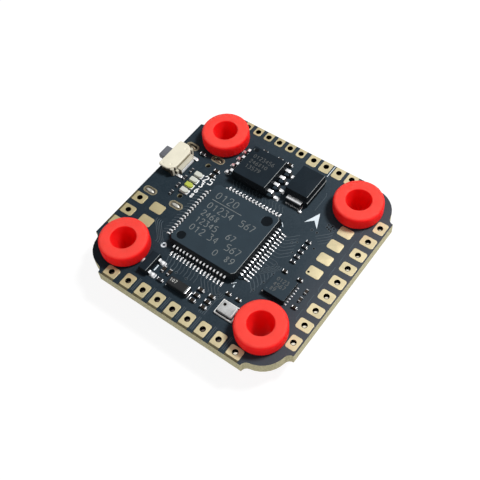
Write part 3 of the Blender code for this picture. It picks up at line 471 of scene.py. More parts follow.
class Shade:
    """A shader socket in Python expressions: each operator adds a Math node."""

    def __init__(self, tree, socket=None):
        self.tree, self.socket = tree, socket

    def node(self, kind, settings=None, inputs=None, output=0):
        """Adds a node, makes its settings, then gives its sockets their numbers, colours or links."""
        made = self.tree.nodes.new(kind)
        for key, value in (settings or {}).items():
            setattr(made, key, value)
        for key, value in (inputs or {}).items():
            if isinstance(value, Shade):
                self.tree.links.new(value.socket, made.inputs[key])
            else:
                made.inputs[key].default_value = value
        return Shade(self.tree, made.outputs[output] if made.outputs else None)

    def math(self, operation, *others, clamp=False):
        """A Math node on this value and the others."""
        inputs = dict(enumerate((self, *others)))
        return self.node("ShaderNodeMath", {"operation": operation, "use_clamp": clamp}, inputs)

    def __add__(self, other):
        return self.math("ADD", other)

    def __sub__(self, other):
        return self.math("SUBTRACT", other)

    def __rsub__(self, other):
        return self * -1.0 + other

    def __mul__(self, other):
        return self.math("MULTIPLY", other)

    def __gt__(self, other):
        return self.math("GREATER_THAN", other)

    def __lt__(self, other):
        return self.math("LESS_THAN", other)

    __radd__ = __add__
    __rmul__ = __mul__

    def between(self, low, high):
        """The value taken from a range to 0..1 and held there."""
        return self.math("MULTIPLY_ADD", 1 / (high - low), -low / (high - low), clamp=True)

    def mix(self, none, full):
        """A colour between two, by this value."""
        colours = [(*c, 1.0) if isinstance(c, tuple) else c for c in (none, full)]
        return self.node("ShaderNodeMix", {"data_type": "RGBA"}, {0: self, 6: colours[0], 7: colours[1]}, 2)

    def noise(self, scale, detail):
        """Fractal noise on this vector, at so many waves in a millimetre."""
        return self.node("ShaderNodeTexNoise", None, {"Vector": self, "Scale": scale, "Detail": detail})

    def axis(self, index):
        """One axis of this vector."""
        return self.node("ShaderNodeSeparateXYZ", None, {0: self}, index)


def tone(value, factor):
    """A colour made lighter or darker."""
    return tuple(min(1.0, channel * factor) for channel in value)


def begin(name):
    """A new material with an empty tree, and object coordinates in millimetres."""
    made = bpy.data.materials.new(name)
    made.use_nodes = True
    made.node_tree.nodes.clear()
    place = Shade(made.node_tree).node("ShaderNodeTexCoord", output="Object")
    return made, place.node("ShaderNodeVectorMath", {"operation": "SCALE"}, {0: place, "Scale": 1 / MM})


def close(made, place, base, rough, height, depth, fixed):
    """Joins base colour, roughness and bump to the shader, and sets its other sockets."""
    bump = place.node("ShaderNodeBump", None, {"Strength": 1.0, "Distance": depth * MM, "Height": height})
    inputs = {"Base Color": base, "Roughness": rough, "Normal": bump, **fixed}
    shader = place.node("ShaderNodeBsdfPrincipled", None, inputs)
    place.node("ShaderNodeOutputMaterial", None, {"Surface": shader})
    return made


def outward(place):
    """The surface's own direction."""
    return place.node("ShaderNodeTexCoord", output="Normal")


def facing(place, way):
    """How far the surface looks along a direction, from -1 to 1."""
    inputs = {0: outward(place), 1: way}
    return place.node("ShaderNodeVectorMath", {"operation": "DOT_PRODUCT"}, inputs, "Value")


# Accents: each paints light or shade into a finish's colour on some parts of the piece


def painted_shade_flanks(place, base):
    """Painted shade: faces that look sideways or down, away from a light above, are painted darker than those
    that look up.
    """
    return facing(place, (0.42, 0.2, 0.88)).between(0.5, 0.85).mix((0.05, 0.052, 0.055), base)


def painted_light_flanks(place, base):
    """Painted light and shade on drawn metal: the top and right are painted bright, and the sides that look
    away from them are painted duller.
    """
    # painted shade on the sides away from the light, and a painted highlight on those that look right
    drawn = facing(place, (0.75, 0.2, 0.63)).between(-0.2, 0.6).mix((0.2, 0.2, 0.2), base)
    return (outward(place).axis(0) > 0.7).mix(drawn, (0.9, 0.9, 0.89))


def shaded_sides_lit_edges(place, base):
    """Moulded case: smooth sides painted dark as shade below a paler top, and a painted highlight on the
    edges between top and right side.
    """
    way = outward(place)
    up = way.axis(2)
    # painted shade on the sides
    case = up.between(0.4, 0.9).mix((0.005, 0.007, 0.009), base)
    # painted highlight on the edges between top and right side
    return (way.axis(0).between(0.2, 0.45) * up.between(0.45, 0.7)).mix(case, (0.40, 0.42, 0.42))


def painted_shade_rear(place, base):
    """Moulded housing: the sides that look to the rear are painted dark, as the shade under the lid's
    overhang.
    """
    return (outward(place).axis(1) < -0.6).mix(base, (0.05, 0.043, 0.03))


def painted_sheen_and_glow(place, base):
    """Rubber: deep red in the bore and round the sides, painted as light glowing through the rubber, and
    paler on the top, painted as sheen.
    """
    return outward(place).axis(2).between(0.5, 0.97).mix((0.96, 0.012, 0.013), base)


def painted_shade_holes(place, base):
    """Plated holes: painted dark as shade in the upper three fifths of the board, and the plating painted
    duller to the left, away from the light.
    """
    half = THICK * 0.3
    away = (place.axis(2) + (half - ORIGIN[2] / MM)).math("ABSOLUTE")
    # painted shade: duller plating towards the left
    left_shade = place.node("ShaderNodeMix", {"data_type": "RGBA", "blend_type": "MULTIPLY"},
                        {0: 1.0, 6: base, 7: (0.70, 0.70, 0.62, 1.0)}, 2)
    plate = place.axis(0).between(-15.0, 10.0).mix(left_shade, base)
    # painted shade inside the hole
    return (away < half - 0.05).mix(plate, (0.008, 0.006, 0.004))


def painted_light_right(place, base):
    """Plated bores: bright along the right edge, where the light falls, and painted dark brown as shade
    elsewhere.
    """
    return (place.axis(0) > 8.5).mix((0.10, 0.065, 0.045), base)


GLOSS, METAL = "Specular IOR Level", "Metallic"
RUBBER = {GLOSS: 0.06, "Subsurface Weight": 0.5, "Subsurface Scale": 1.6 * MM,
          "Subsurface Radius": (1.0, 0.06, 0.05)}
# Each finish: its colour (red, green and blue, or a look, its colour and a factor), drift, waves in a
# millimetre of patches and flecks, roughness from and to, waves and depth of the grain, then its accent and
# other sockets, if any
FINISHES = {
    "moulded_epoxy": (("chip", "epoxy", 1), 0.88, 0.5, 11, (0.5, 0.62), 15, 0.006, shaded_sides_lit_edges, {GLOSS: 0.12}),
    "matt_epoxy": (("chip", "matt_epoxy", 1), 0.8, 0.5, 11, (0.5, 0.62), 15, 0.006, shaded_sides_lit_edges, {GLOSS: 0.07}),
    # painted shade: the floors of chip marks are a darker copy of the matt epoxy
    "polished_epoxy": (("chip", "matt_epoxy", 0.4), 0.8, 0.5, 11, (0.3, 0.4), 15, 0.002, None, {GLOSS: 0.07}),
    "dark_resin": ((0.015, 0.016, 0.017), 0.8, 0.6, 10, (0.4, 0.52), 12, 0.005, shaded_sides_lit_edges, {GLOSS: 0.15}),
    "resistor_body": (("chip", "resistor", 1), 0.85, 1.5, 12, (0.35, 0.5), 18, 0.002, None, {GLOSS: 0.15}),
    "capacitor_body": (("chip", "capacitor", 1), 0.85, 1.5, 12, (0.35, 0.5), 18, 0.002, None, {GLOSS: 0.15}),
    "pressed_iron": (("chip", "iron", 1), 0.7, 1.2, 7, (0.5, 0.7), 9, 0.014),
    "fired_ceramic": (("chip", "ceramic", 1), 0.9, 1.0, 12, (0.45, 0.6), 14, 0.003),
    "white_ceramic": ((0.78, 0.78, 0.76), 0.92, 1.0, 12, (0.4, 0.55), 14, 0.003),
    "bright_solder": (("chip", "tin", 1), 0.9, 1.6, 10, (0.2, 0.36), 6, 0.004, painted_shade_flanks, {METAL: 0.85}),
    "soft_solder": (("chip", "tin", 0.78), 0.85, 1.6, 10, (0.32, 0.45), 6, 0.004, None,
                    {METAL: 0.35, GLOSS: 0.3}),
    "dull_tin": (("chip", "tin", 0.62), 0.8, 1.6, 10, (0.3, 0.45), 6, 0.004, painted_shade_flanks, {METAL: 0.7}),
    "slot_silver": ((0.50, 0.49, 0.44), 0.55, 2.5, 9, (0.3, 0.45), 6, 0.01, painted_shade_flanks, {METAL: 0.4}),
    "slot_solder": ((0.20, 0.165, 0.11), 0.3, 2.5, 9, (0.25, 0.4), 6, 0.02, painted_shade_flanks, {METAL: 0.6}),
    "drawn_silver": ((0.42, 0.43, 0.43), 0.6, 0.8, 12, (0.3, 0.45), 12, 0.004, painted_light_flanks, {METAL: 0.25}),
    "plated_shell": (("socket", "steel", 1), 0.88, 0.5, 8, (0.26, 0.4), 8, 0.003, None, {METAL: 0.9}),
    "black_contact_block": (("socket", "moulding", 1), 0.8, 0.8, 10, (0.4, 0.55), 18, 0.002),
    "gilt_pad": (("board", "gold", 1), 0.9, 0.6, 7, (0.38, 0.52), 9, 0.004, painted_shade_holes,
                 {METAL: 0.35, GLOSS: 0.15}),
    "bright_plating": ((0.86, 0.80, 0.66), 0.92, 1.0, 9, (0.22, 0.3), 8, 0.002, painted_light_right, {METAL: 1.0}),
    "dull_plating": ((0.34, 0.31, 0.22), 0.7, 0.9, 9, (0.3, 0.45), 8, 0.006, painted_shade_holes, {GLOSS: 0.2}),
    "worn_rim": ((0.085, 0.09, 0.095), 0.7, 0.9, 9, (0.4, 0.5), 8, 0.004, painted_shade_holes, {GLOSS: 0.1}),
    "bare_tail": ((0.09, 0.078, 0.042), 0.7, 0.9, 9, (0.45, 0.55), 18, 0.002, None, {GLOSS: 0.1}),
    # near black: painted shade inside bores, via holes and the vent, and the socket pegs' black
    "open_hole": ((0.006, 0.005, 0.004), 0.82, 0.7, 14, (0.4, 0.55), 18, 0.002, None, {GLOSS: 0.0}),
    "masked_copper": (("board", "track", 1), 0.7, 0.5, 8, (0.4, 0.5), 8, 0.003, None, {GLOSS: 0.3}),
    "printed_ink": (("board", "ink", 1), 0.9, 1.2, 12, (0.5, 0.65), 16, 0.004),
    "bold_ink": ((0.93, 0.94, 0.94), 0.96, 1.2, 12, (0.5, 0.65), 16, 0.004),
    "chip_print": (("chip", "print", 1), 0.75, 1.2, 6, (0.5, 0.65), 16, 0.004),
    "dim_print": (("chip", "print", 0.35), 0.75, 1.2, 6, (0.4, 0.55), 18, 0.002),
    "faint_print": (("chip", "print", 0.45), 0.75, 1.2, 6, (0.4, 0.55), 18, 0.002),
    "worn_print": ((0.42, 0.42, 0.40), 0.8, 1.5, 10, (0.5, 0.6), 18, 0.002),
    "soft_rubber": (("damper", "rubber", 1), 0.93, 0.5, 9, (0.5, 0.62), 10, 0.006, painted_sheen_and_glow, RUBBER),
    "cream_lens": (("light", "cream", 1), 0.94, 1.5, 12, (0.25, 0.4), 9, 0.003),
    "lime_lens": (("light", "lime", 1), 0.94, 1.5, 12, (0.25, 0.4), 9, 0.003),
    "ivory_plastic": (("switch", "ivory", 1), 0.93, 0.5, 9, (0.42, 0.55), 12, 0.003),
    # painted shade: the housing is a darker copy of the lid's ivory
    "aged_ivory": (("switch", "ivory", 0.66), 0.88, 0.5, 9, (0.42, 0.55), 12, 0.003, painted_shade_rear, {}),
    # painted highlight: stands for the shelf's lit face
    "white_strip": ((0.84, 0.86, 0.88), 0.9, 1.0, 12, (0.35, 0.5), 18, 0.002),
    # painted shade: the dark line in the recess between lid and shelf
    "tan_seam": ((0.22, 0.19, 0.12), 0.7, 1.5, 9, (0.5, 0.6), 18, 0.002),
    "grey_button": (("switch", "grey", 1), 0.85, 0.8, 9, (0.4, 0.52), 12, 0.004),
}


def finish(name):
    """A finish from the table, made at its first use.

    Its colour drifts in soft patches and fine flecks, and a fine grain lifts the surface.
    """
    if name in bpy.data.materials:
        return bpy.data.materials[name]
    value, drift, patch, fleck, (smooth, rough), grain, depth, *rest = FINISHES[name]
    accent, fixed = rest or (None, {})
    if isinstance(value[0], str):
        group, key, factor = value
        value = tone(getattr(getattr(bpy.context.scene, f"{group}_look"), key), factor)
    made, place = begin(name)
    patches = place.noise(patch, 3.0).between(0.3, 0.7)
    flecks = place.noise(fleck, 2.0).between(0.35, 0.75)
    share = 0.65  # of the patches in the drift; the flecks have the rest
    base = (patches * share + flecks * (1 - share)).mix(tone(value, drift), tone(value, 2 - drift))
    if accent:
        base = accent(place, base)
    sheen = patches * (rough - smooth) + smooth
    return close(made, place, base, sheen, place.noise(grain, 3.0), depth, fixed)


def mask_finish(look):
    """Solder mask on the faces, with the glass weave faintly raised; bare laminate in layers at the edges."""
    made, place = begin("satin_solder_mask")
    value, bare = tuple(look.mask), tuple(look.laminate)
    x, y, z = [place.axis(index) for index in range(3)]
    face = outward(place).axis(2).math("ABSOLUTE") > 0.7
    patches = place.noise(0.22, 3.0).between(0.3, 0.7)
    flecks = place.noise(4.5, 3.0).between(0.3, 0.7)
    # painted sheen: the coat grows paler towards the right and front
    slope = (x + y * 0.5).between(-12.0, 12.0)
    pale = tuple(channel + 0.024 for channel in value)
    coat = (slope * 0.55 + patches * 0.2 + flecks * 0.25).mix(tone(value, 0.6), pale)
    # painted sheen: paler still near the right edge
    coat = (x.between(9.0, 16.0) * 0.55).mix(coat, (0.10, 0.098, 0.11))
    sheets, threads = 26.0, 9.0  # waves of the laminate's layers and of the weave
    layers = (z * sheets).math("SINE") * 0.14 + place.noise(5.0, 4.0)
    laminate = layers.between(0.25, 0.95).mix(tone(bare, 0.7), tone(bare, 1.25))
    weave = (x * threads).math("SINE") * (y * threads).math("SINE")
    height = weave * 0.12 + place.noise(7.0, 3.0)
    rough = 0.72 - face * 0.27 + patches * 0.08
    return close(made, place, face.mix(laminate, coat), rough, height, 0.006, {GLOSS: 0.05})


# Operators


class Builder:
    """Shared by the operators: each can be undone."""
    bl_options = {"REGISTER", "UNDO"}


class BuildBoard(Builder, bpy.types.Operator):
    """Coats the circuit board and lays copper tracks and vias under its mask"""
    bl_idname = "flight_board.board"
    bl_label = "Board"

    def execute(self, context):
        look = context.scene.board_look
        coated("circuit_board", mask_finish(look))
        width, rise = look.track_width / MM, look.track_rise / MM
        bend, repeated = 0.3, 7.5  # tracks that start this near the middle line are repeated on the underside
        paths, ends = tracks()
        copper = Shape(*[strip(bent(path, bend), width, INK_FOOT, rise) for path in paths])
        for path in [np.asarray(path) * UNDER for path in paths if abs(path[0][1]) < repeated]:
            copper.grid(below(strip(bent(path, bend), width, INK_FOOT, rise)))
        copper.make("copper_tracks", "masked_copper", "solder_mask")
        rise += 0.006
        via = revolved([(0.11, SUNK), (0.11, rise - 0.008), (0.12, rise), (0.19, rise), (0.21, SUNK)], 14)
        vias = Shape(placed(via, ends), below(placed(via, np.asarray(ends) * UNDER)), loop=True)
        vias.make("vias", "masked_copper", "solder_mask")
        # painted shade: dark fill inside the via holes
        Shape(placed(prism(circle(0.12, 3), INK_FOOT, rise - 0.012), ends)).make("via_holes", "open_hole")
        return {"FINISHED"}


# Vias that stand apart from the tracks
LOOSE_VIAS = [(7.07, 4.43), (7.78, 4.43), (8.72, 2.34), (6.12, 1.59), (8.33, 6.16), (8.33, 5.76),
              (8.65, 5.66), (8.77, 5.97), (8.84, 6.26), (8.98, 5.56), (9.15, 5.99)]
# Bundles of four tracks: points of the first, and steps to the next
BUNDLES = [
    ([(-9.6, -4.6), (-9.6, -5.0), (-7.6, -7.0), (-7.6, -7.4)], (0.3, 0.0)),
    ([(7.9, 3.9), (8.2, 4.2), (9.2, 5.2), (9.4, 5.6)],
     [(0.3, -0.25), (0.3, -0.25), (0.15, -0.4), (0.1, -0.4)]),
    ([(3.4, -12.0), (3.4, -9.6), (3.8, -9.2), (3.8, -8.6)], (-0.25, 0.0)),
    ([(4.6, -4.0), (6.2, -2.4), (6.2, -1.9)], (0.3, 0.0)),
]


def tracks():
    """Copper tracks as corner points, and places of vias.

    One track leaves each of the processor's leads and bends at 45 degrees; every third one at the right and
    the rear ends at a via. Others run beside the edge pads and between the chips.
    """
    x, y = middle("processor")
    left, right, rear, front = x - 6.2, x + 6.2, y - 6.25, y + 6.25
    paths, ends = [], list(LOOSE_VIAS)
    for k, step in enumerate((np.arange(16) - 7.5) * LEAD_PITCH):
        a, b = x + step, y + step
        way, lag = (1, 16 - k) if k > 8 else (-1, k + 1)
        turn, lean = right + 0.12 * lag, 0.8 if k > 9 else 0.15
        paths += [
            [(right, b), (turn, b), (turn + 0.8, b + way * 0.8),
             (turn + 0.8 + 0.3 * (way > 0), b + way * 1.1)],
            [(a, rear), (a, rear - 0.3), (a + lean, rear - 0.3 - lean), (a + lean, rear - 1.3)],
            [(a, front), (a, front + 0.3), (a - 0.4, front + 0.7), (a - 0.4, front + 1.0)],
            [(left, b), (left - 0.3, b), (left - 0.6, b - 0.3)],
        ]
        if k % 3 == 1:
            ends += [paths[-4][-1], paths[-3][-1]]
    for place in (np.arange(7) - 3) * PAD_STEP:
        paths.append([(12.6, place), (12.35, place), (12.2, place + 0.2), (12.2, place + 1.6)])
        paths += [[(a, -14.2), (a, -13.3), (a, -12.4)] for a in (place + 1.0, place + 1.2)]
    paths += [np.array(first) + np.array(steps) * k for k in range(4) for first, steps in BUNDLES]
    return [*paths, [(5.75, 7.0), (5.75, 9.6), (5.5, 10.0)]], ends


class BuildPads(Builder, bpy.types.Operator):
    """Plates the pads along the edges, the plain pads and the socket's slots"""
    bl_idname = "flight_board.pads"
    bl_label = "Pads"

    def execute(self, context):
        rise = context.scene.board_look.pad_rise / MM
        edge_pads(rise)
        plain = [(0.90, 0.68, [(10.6, y) for y in (6.3, 4.05, 1.85, -0.35)]),
                 (0.93, 0.70, [(-10.55, -3.5), (-10.53, -5.75)])]
        flat = soft_levels(SUNK, rise, 0.03, foot=0.01)
        pads = [placed(stacked(rounded(*half, 0.26, 6), flat), places) for *half, places in plain]
        Shape(*pads).make("plain_pads", "gilt_pad", sharp=CRISP)
        # painted shade: dark fill inside the via in a plain pad
        Shape(prism(circle(0.15, 4), 0.0, rise + 0.003) + [9.97, -0.66, 0.0]).make("pad_via", "open_hole")
        socket_slots(rise)
        return {"FINISHED"}


def edge_pads(rise):
    """Drilled pads along the edges, their bores painted dark as shade, their bright feet, and bare strips
    beyond some of them.
    """
    low, high = span("circuit_board")
    edges = {0: -low[1], 90: high[0], 180: high[1], 270: -low[0]}
    row, ends = (np.arange(7) - 3) * PAD_STEP, [-9.1, 9.1]
    signals, wide = 7.35 - 1.68 * np.arange(5), -1.32 - 1.88 * np.arange(4)
    flush, held, short = (0.005, 0.03), (0.2, 0.26), (0.28, 0.12)
    # Each row: places along the edge, distance from the middle, turn, half width and reach inwards of a pad,
    # and its margin and corner radius at the edge
    rows = [
        (row, PAD_FAR, 0, 0.71, 0.89, short),
        (ends, CORNER_PAD_FAR, 0, 0.90, 0.68, short),
        (row, PAD_FAR, 90, 0.71, 0.89, held),
        (ends, CORNER_PAD_FAR, 90, 0.88, 0.63, held),
        (signals, PAD_FAR, 180, 0.56, 0.60, flush),
        ([9.03], PAD_FAR, 180, 0.56, 0.45, flush),
        (wide, PAD_FAR, 180, 0.71, 0.98, flush),
        (3.45 + PAD_STEP * np.arange(3), PAD_FAR, 270, 0.71, 0.89, short),
    ]
    bore = tube(0.365, 0.84, rise + 0.003, -THICK * 0.43)
    foot = tube(0.325, 0.93, -THICK * 0.415, 0.02 - THICK - rise)
    pads, bores, feet, tails = Shape(), Shape(), Shape(), Shape()
    for along, far, turn, half, inwards, (margin, corner) in rows:
        places = np.column_stack([along, np.full(len(along), -far)])
        pad = drilled_pad(half, inwards, edges[turn] - margin - far, corner, rise)
        for shape, points in ((pads, pad), (bores, bore), (feet, foot)):
            shape.grid(turned(placed(points, places), turn), loop=True)
        if (margin, corner) == short:
            places[:, 1] = margin / 2 - edges[turn]
            tail = prism(rounded(half, margin / 2 - 0.01, 0.02, 1), SUNK, 0.012)
            tails.grid(turned(placed(tail, places), turn))
    pads.make("edge_pads", "gilt_pad", sharp=CRISP)
    # painted shade: dark tubes lining the upper bores
    bores.make("pad_bores", "open_hole")
    feet.make("pad_bore_feet", "bright_plating")
    tails.make("pad_tails", "bare_tail")


def socket_slots(rise):
    """Plated slots and peg holes of the data socket: solder fills two slots and lies low in the other two."""
    left, right = LEG_X
    slots = np.array([(left, -1.86), (right, -1.86), (right, 6.76), (left, 6.76)])
    pegs = [(-9.45, 5.34), (-9.45, -0.44)]
    halves = ((0.98, 0.52), (0.86, 0.41), (0.71, 0.28))
    outer, inner, drawn = [rounded(long, wide, wide - 0.01, 8) for long, wide in halves]
    rim = circle(0.33)
    rims = Shape(placed(sleeve(rim * 1.17, rim * 0.99, 0.02), pegs), loop=True)
    rims.make("peg_rims", "worn_rim", sharp=CRISP)
    Shape(placed(prism(circle(0.31), -1.1, -0.25), pegs)).make("socket_pegs", "open_hole", "black_moulding")
    rings = Shape(placed(sleeve(outer, inner, rise), slots), loop=True)
    rings.make("slot_rings", "dull_plating", sharp=CRISP)
    filled = Shape(placed(mound(0.70, 0.31, 0.24, -0.17, 6, 20), slots[:2] + [-0.12, 0.0]))
    filled.make("filled_slots", "slot_silver", "bright_tin")
    solder = Shape(placed(sleeve(inner * 1.01, drawn, rise * 0.7), slots), loop=True)
    solder.grid(placed(mound(0.6, 0.27, 0.2, -0.26), slots[2:] + [-0.1, 0.0]))
    solder.make("slot_solder", "slot_solder", "bright_tin")


def sleeve(outer, inner, rise):
    """A plated hole: two outlines with as many points, joined over the top, down the bore and underneath."""
    depth = -THICK - rise
    rows = [(outer, 0.0), (outer, rise * 0.6), (outer * 0.97, rise), (inner * 1.12, rise),
            (inner * 1.03, rise - 0.012), (inner, rise - 0.05), (inner, -THICK / 2), (inner, depth + 0.05),
            (inner * 1.12, depth), (outer * 0.97, depth), (outer, depth + rise * 0.4), (outer, -THICK)]
    return np.stack([np.column_stack([flat, np.full(len(flat), z)]) for flat, z in rows])


def drilled_pad(half, inwards, outwards, corner, rise, hole=0.33):
    """A drilled pad: the hole's circle is taken in the same directions as the points of the pad's outline."""
    inner, outer = rounded(half, inwards, 0.28, 6), rounded(half, outwards, corner, 6)
    outline = evened(np.vstack([inner[:14], outer[14:]]), 64)
    return sleeve(outline, outline / np.linalg.norm(outline, axis=1, keepdims=True) * hole, rise)


DIGIT_STEP, DIGIT_ROUND = 0.82, 0.16  # from digit to digit, and round of the strokes, for one unit of height
# Strokes of each digit, one unit tall
GLYPHS = {
    "0": [(0.06, 0.2), (0.06, 0.8), (0.3, 1.0), (0.54, 0.8), (0.54, 0.2), (0.3, 0.0), (0.06, 0.2)],
    "1": [(0.12, 0.75), (0.34, 1.0), (0.34, 0.0)],
    "2": [(0.04, 0.78), (0.12, 1.0), (0.5, 1.0), (0.56, 0.66), (0.04, 0.0), (0.6, 0.0)],
    "3": [(0.04, 1.0), (0.56, 1.0), (0.28, 0.58), (0.58, 0.46), (0.54, 0.0), (0.04, 0.0)],
    "4": [(0.46, 0.0), (0.46, 1.0), (0.02, 0.3), (0.6, 0.3)],
    "5": [(0.56, 1.0), (0.08, 1.0), (0.08, 0.56), (0.56, 0.6), (0.58, 0.0), (0.04, 0.0)],
    "6": [(0.5, 1.0), (0.08, 0.6), (0.06, 0.0), (0.56, 0.0), (0.56, 0.52), (0.08, 0.5)],
    "7": [(0.04, 1.0), (0.58, 1.0), (0.22, 0.0)],
    "8": [(0.3, 0.54), (0.06, 0.8), (0.3, 1.0), (0.54, 0.8), (0.06, 0.22), (0.3, 0.0), (0.54, 0.22),
          (0.3, 0.54)],
    "9": [(0.1, 0.0), (0.52, 0.4), (0.54, 1.0), (0.06, 1.0), (0.06, 0.5), (0.54, 0.52)],
}


def written(rows, stroke, face, rise=FILM, at=(0.0, 0.0)):
    """Rows of numbers on a face, each (text, x, y, height): every digit is a flat strip along its strokes."""
    shape = Shape()
    for text, x, y, tall in rows:
        for index, digit in enumerate(text):
            path = np.asarray(GLYPHS[digit]) * tall + [at[0] + x + DIGIT_STEP * tall * index, at[1] + y]
            shape.grid(strip(bent(path, DIGIT_ROUND * tall, 2), stroke, face + INK_FOOT, face + rise))
    return shape


class BuildInk(Builder, bpy.types.Operator):
    """Prints the arrow, the ring at the processor's first lead, the numbers and the lines between pads"""
    bl_idname = "flight_board.ink"
    bl_label = "Ink"

    def execute(self, context):
        rise = context.scene.board_look.ink_rise / MM
        tip, notch, left, right = (6.55, 7.0), (6.55, 5.75), (5.63, 4.88), (7.47, 4.84)
        halves = ([tip, left, notch], [tip, notch, right])
        marks = Shape(*[prism(bent(half, 0.04, 2, True), INK_FOOT, rise) for half in halves])
        ring = revolved([(0.17, INK_FOOT), (0.17, rise), (0.38, rise), (0.38, INK_FOOT)], 28)
        marks.grid(ring + [-6.4, -7.25, 0.0], loop=True)
        labels = [("25", -8.62, 2.98, 0.95)]
        labels += [(digit, -8.44, y, 0.68) for digit, y in (("3", 2.05), ("6", 1.08), ("8", 0.11))]
        written(labels, 0.17, 0.0, rise).make("light_numbers", "bold_ink")
        lines = [([(4.14, 12.2), (4.14, 14.15)], 0.11), ([(-5.08, -9.8), (-5.08, -10.65)], 0.2),
                 ([(3.45, 3.35), (3.95, 2.85)], 0.1), ([(3.5, -6.95), (3.95, -6.5)], 0.1),
                 ([(3.95, -6.9), (4.0, -7.25)], 0.14)]
        for path, width in lines:
            marks.grid(strip(np.linspace(*path, 3), width, INK_FOOT, rise))
        marks.make("printed_marks", "printed_ink")
        return {"FINISHED"}


class BuildDampers(Builder, bpy.types.Operator):
    """Moulds the four rubber dampers"""
    bl_idname = "flight_board.dampers"
    bl_label = "Dampers"

    def execute(self, context):
        look = context.scene.damper_look
        low, high = span(DAMPERS[0])
        top, bottom = high[2], low[2]
        radius = (high[0] - low[0]) / 2
        bore, bore_foot = look.bore / MM / 2, look.bore_foot / MM / 2
        neck, flange, seat = 2.05, 2.8, 0.02
        rim, foot = look.rim_round / MM, look.seat_round / MM
        # Rounds at the bore's top, at the flange's two edges and at the bore's foot
        lip, shoulder, base, edge = 0.14, 0.25, 0.5, 0.06

        def corner(centre, size, first, last, steps=7):
            """Quarter circle of a profile, between two angles."""
            turn = np.radians(np.linspace(first, last, steps))
            return np.column_stack([centre[0] + size * np.cos(turn), centre[1] + size * np.sin(turn)])

        profile = np.vstack([
            corner((bore + lip, top - lip), lip, 180, 90),
            corner((radius - rim, top - rim), rim, 90, 0),
            [(radius, top * 0.62 + step) for step in (0.05, 0.0, -0.05)],
            corner((radius - foot, seat + foot), foot, 0, -90, 10),
            [(neck, seat), (neck, -THICK - seat)],
            corner((flange - shoulder, -THICK - seat - shoulder), shoulder, 90, 0),
            corner((flange - base, bottom + base), base, 0, -90),
            corner((bore_foot + edge, bottom + edge), edge, 270, 180),
        ])
        for node in DAMPERS:
            damper = Shape(placed(revolved(profile, 96), [middle(node)]), loop=True)
            damper.make(f"{node}_rubber", "soft_rubber", "red_rubber", (node,))
        return {"FINISHED"}


class BuildProcessor(Builder, bpy.types.Operator):
    """Moulds the processor with two dished marks, and bends and solders its leads"""
    bl_idname = "flight_board.processor"
    bl_label = "Processor"

    def execute(self, context):
        centre, top, seam = middle("processor"), span("processor")[1][2], 0.74
        levels = moulded_levels(0.08, seam, top, context.scene.chip_look.edge / MM, 0.22)
        body = faced(stacked(evened(rounded(5.0, 5.0, 0.42, 1), 320) + centre, levels), 64)
        body = dimpled("processor_dimples", body, [((2.5, 1.65), 0.78), ((-4.8, -5.6), 0.64)])
        Shape(body).make("processor_body", "moulded_epoxy", "black_epoxy", ("processor",))
        rows = [("0120", -4.85, 0.95, 1.05), ("01234", -4.85, -0.75, 0.95), ("567", 0.0, -0.75, 0.9),
                ("2468", -4.8, -1.95, 0.8), ("12345", -4.8, -3.1, 0.8), ("67", -0.2, -3.1, 0.8),
                ("012", -4.7, -4.4, 0.9), ("34", -1.95, -4.4, 0.9), ("567", 0.6, -4.4, 0.9),
                ("0", -0.2, -5.8, 0.9), ("89", 1.5, -5.75, 0.85)]
        marks = written(rows, 0.105, top)
        marks.grid(strip([(-4.9, 0.6), (-2.7, 0.6), (-0.5, 0.6)], 0.1, top + INK_FOOT, top + FILM))
        marks.make("processor_print", "chip_print")
        land = block(0.36, 0.11, 0.05, SUNK, 0.04, 0.03, 2) + [5.8, 0.0, 0.0]
        toe = mound(0.12, 0.09, 0.1, 0.02, 4, 10) + [5.98, 0.0, 0.0]
        rows = [lead_rows(centre, 16, LEAD_PITCH, (0, 90, 180, 270))]
        wing = gull_wing(4.85, 5.32, 5.52, 5.94, seam, 0.22, 0.13)
        leaded("processor", ("bright_solder", "bright_solder"), rows, wing, (land, toe))
        return {"FINISHED"}


class BuildFlash(Builder, bpy.types.Operator):
    """Moulds the flash memory and solders its eight leads"""
    bl_idname = "flight_board.flash"
    bl_label = "Flash memory"

    def execute(self, context):
        centre, top, seam = middle("flash_memory"), span("flash_memory")[1][2], 0.92
        levels = moulded_levels(0.1, seam, top, context.scene.chip_look.edge / MM, 0.19)
        body = faced(stacked(evened(rounded(2.625, 2.625, 0.08), 200) + centre, levels), 40)
        body = dimpled("flash_dimple", body, [(centre + [-1.85, 1.9], 0.36)])
        Shape(body).make("flash_body", "matt_epoxy", "black_epoxy", ("flash_memory",))
        rows = [("0123456", -1.6, 0.75, 0.55), ("246810", -1.6, -0.15, 0.55), ("13579", -1.6, -1.05, 0.55)]
        written(rows, 0.09, top, at=centre).make("flash_print", "dim_print")
        land = block(0.38, 0.27, 0.08, *LAND, 3) + [3.76, 0.0, 0.0]
        toe = mound(0.17, 0.2, 0.18, 0.02) + [3.94, 0.0, 0.0]
        wing = gull_wing(2.5, 3.26, 3.44, 3.94, seam, 0.5, 0.2)
        rows = [lead_rows(centre, 4, 1.27, (0, 180))]
        leaded("flash", ("bright_solder", "soft_solder"), rows, wing, (land, toe))
        return {"FINISHED"}


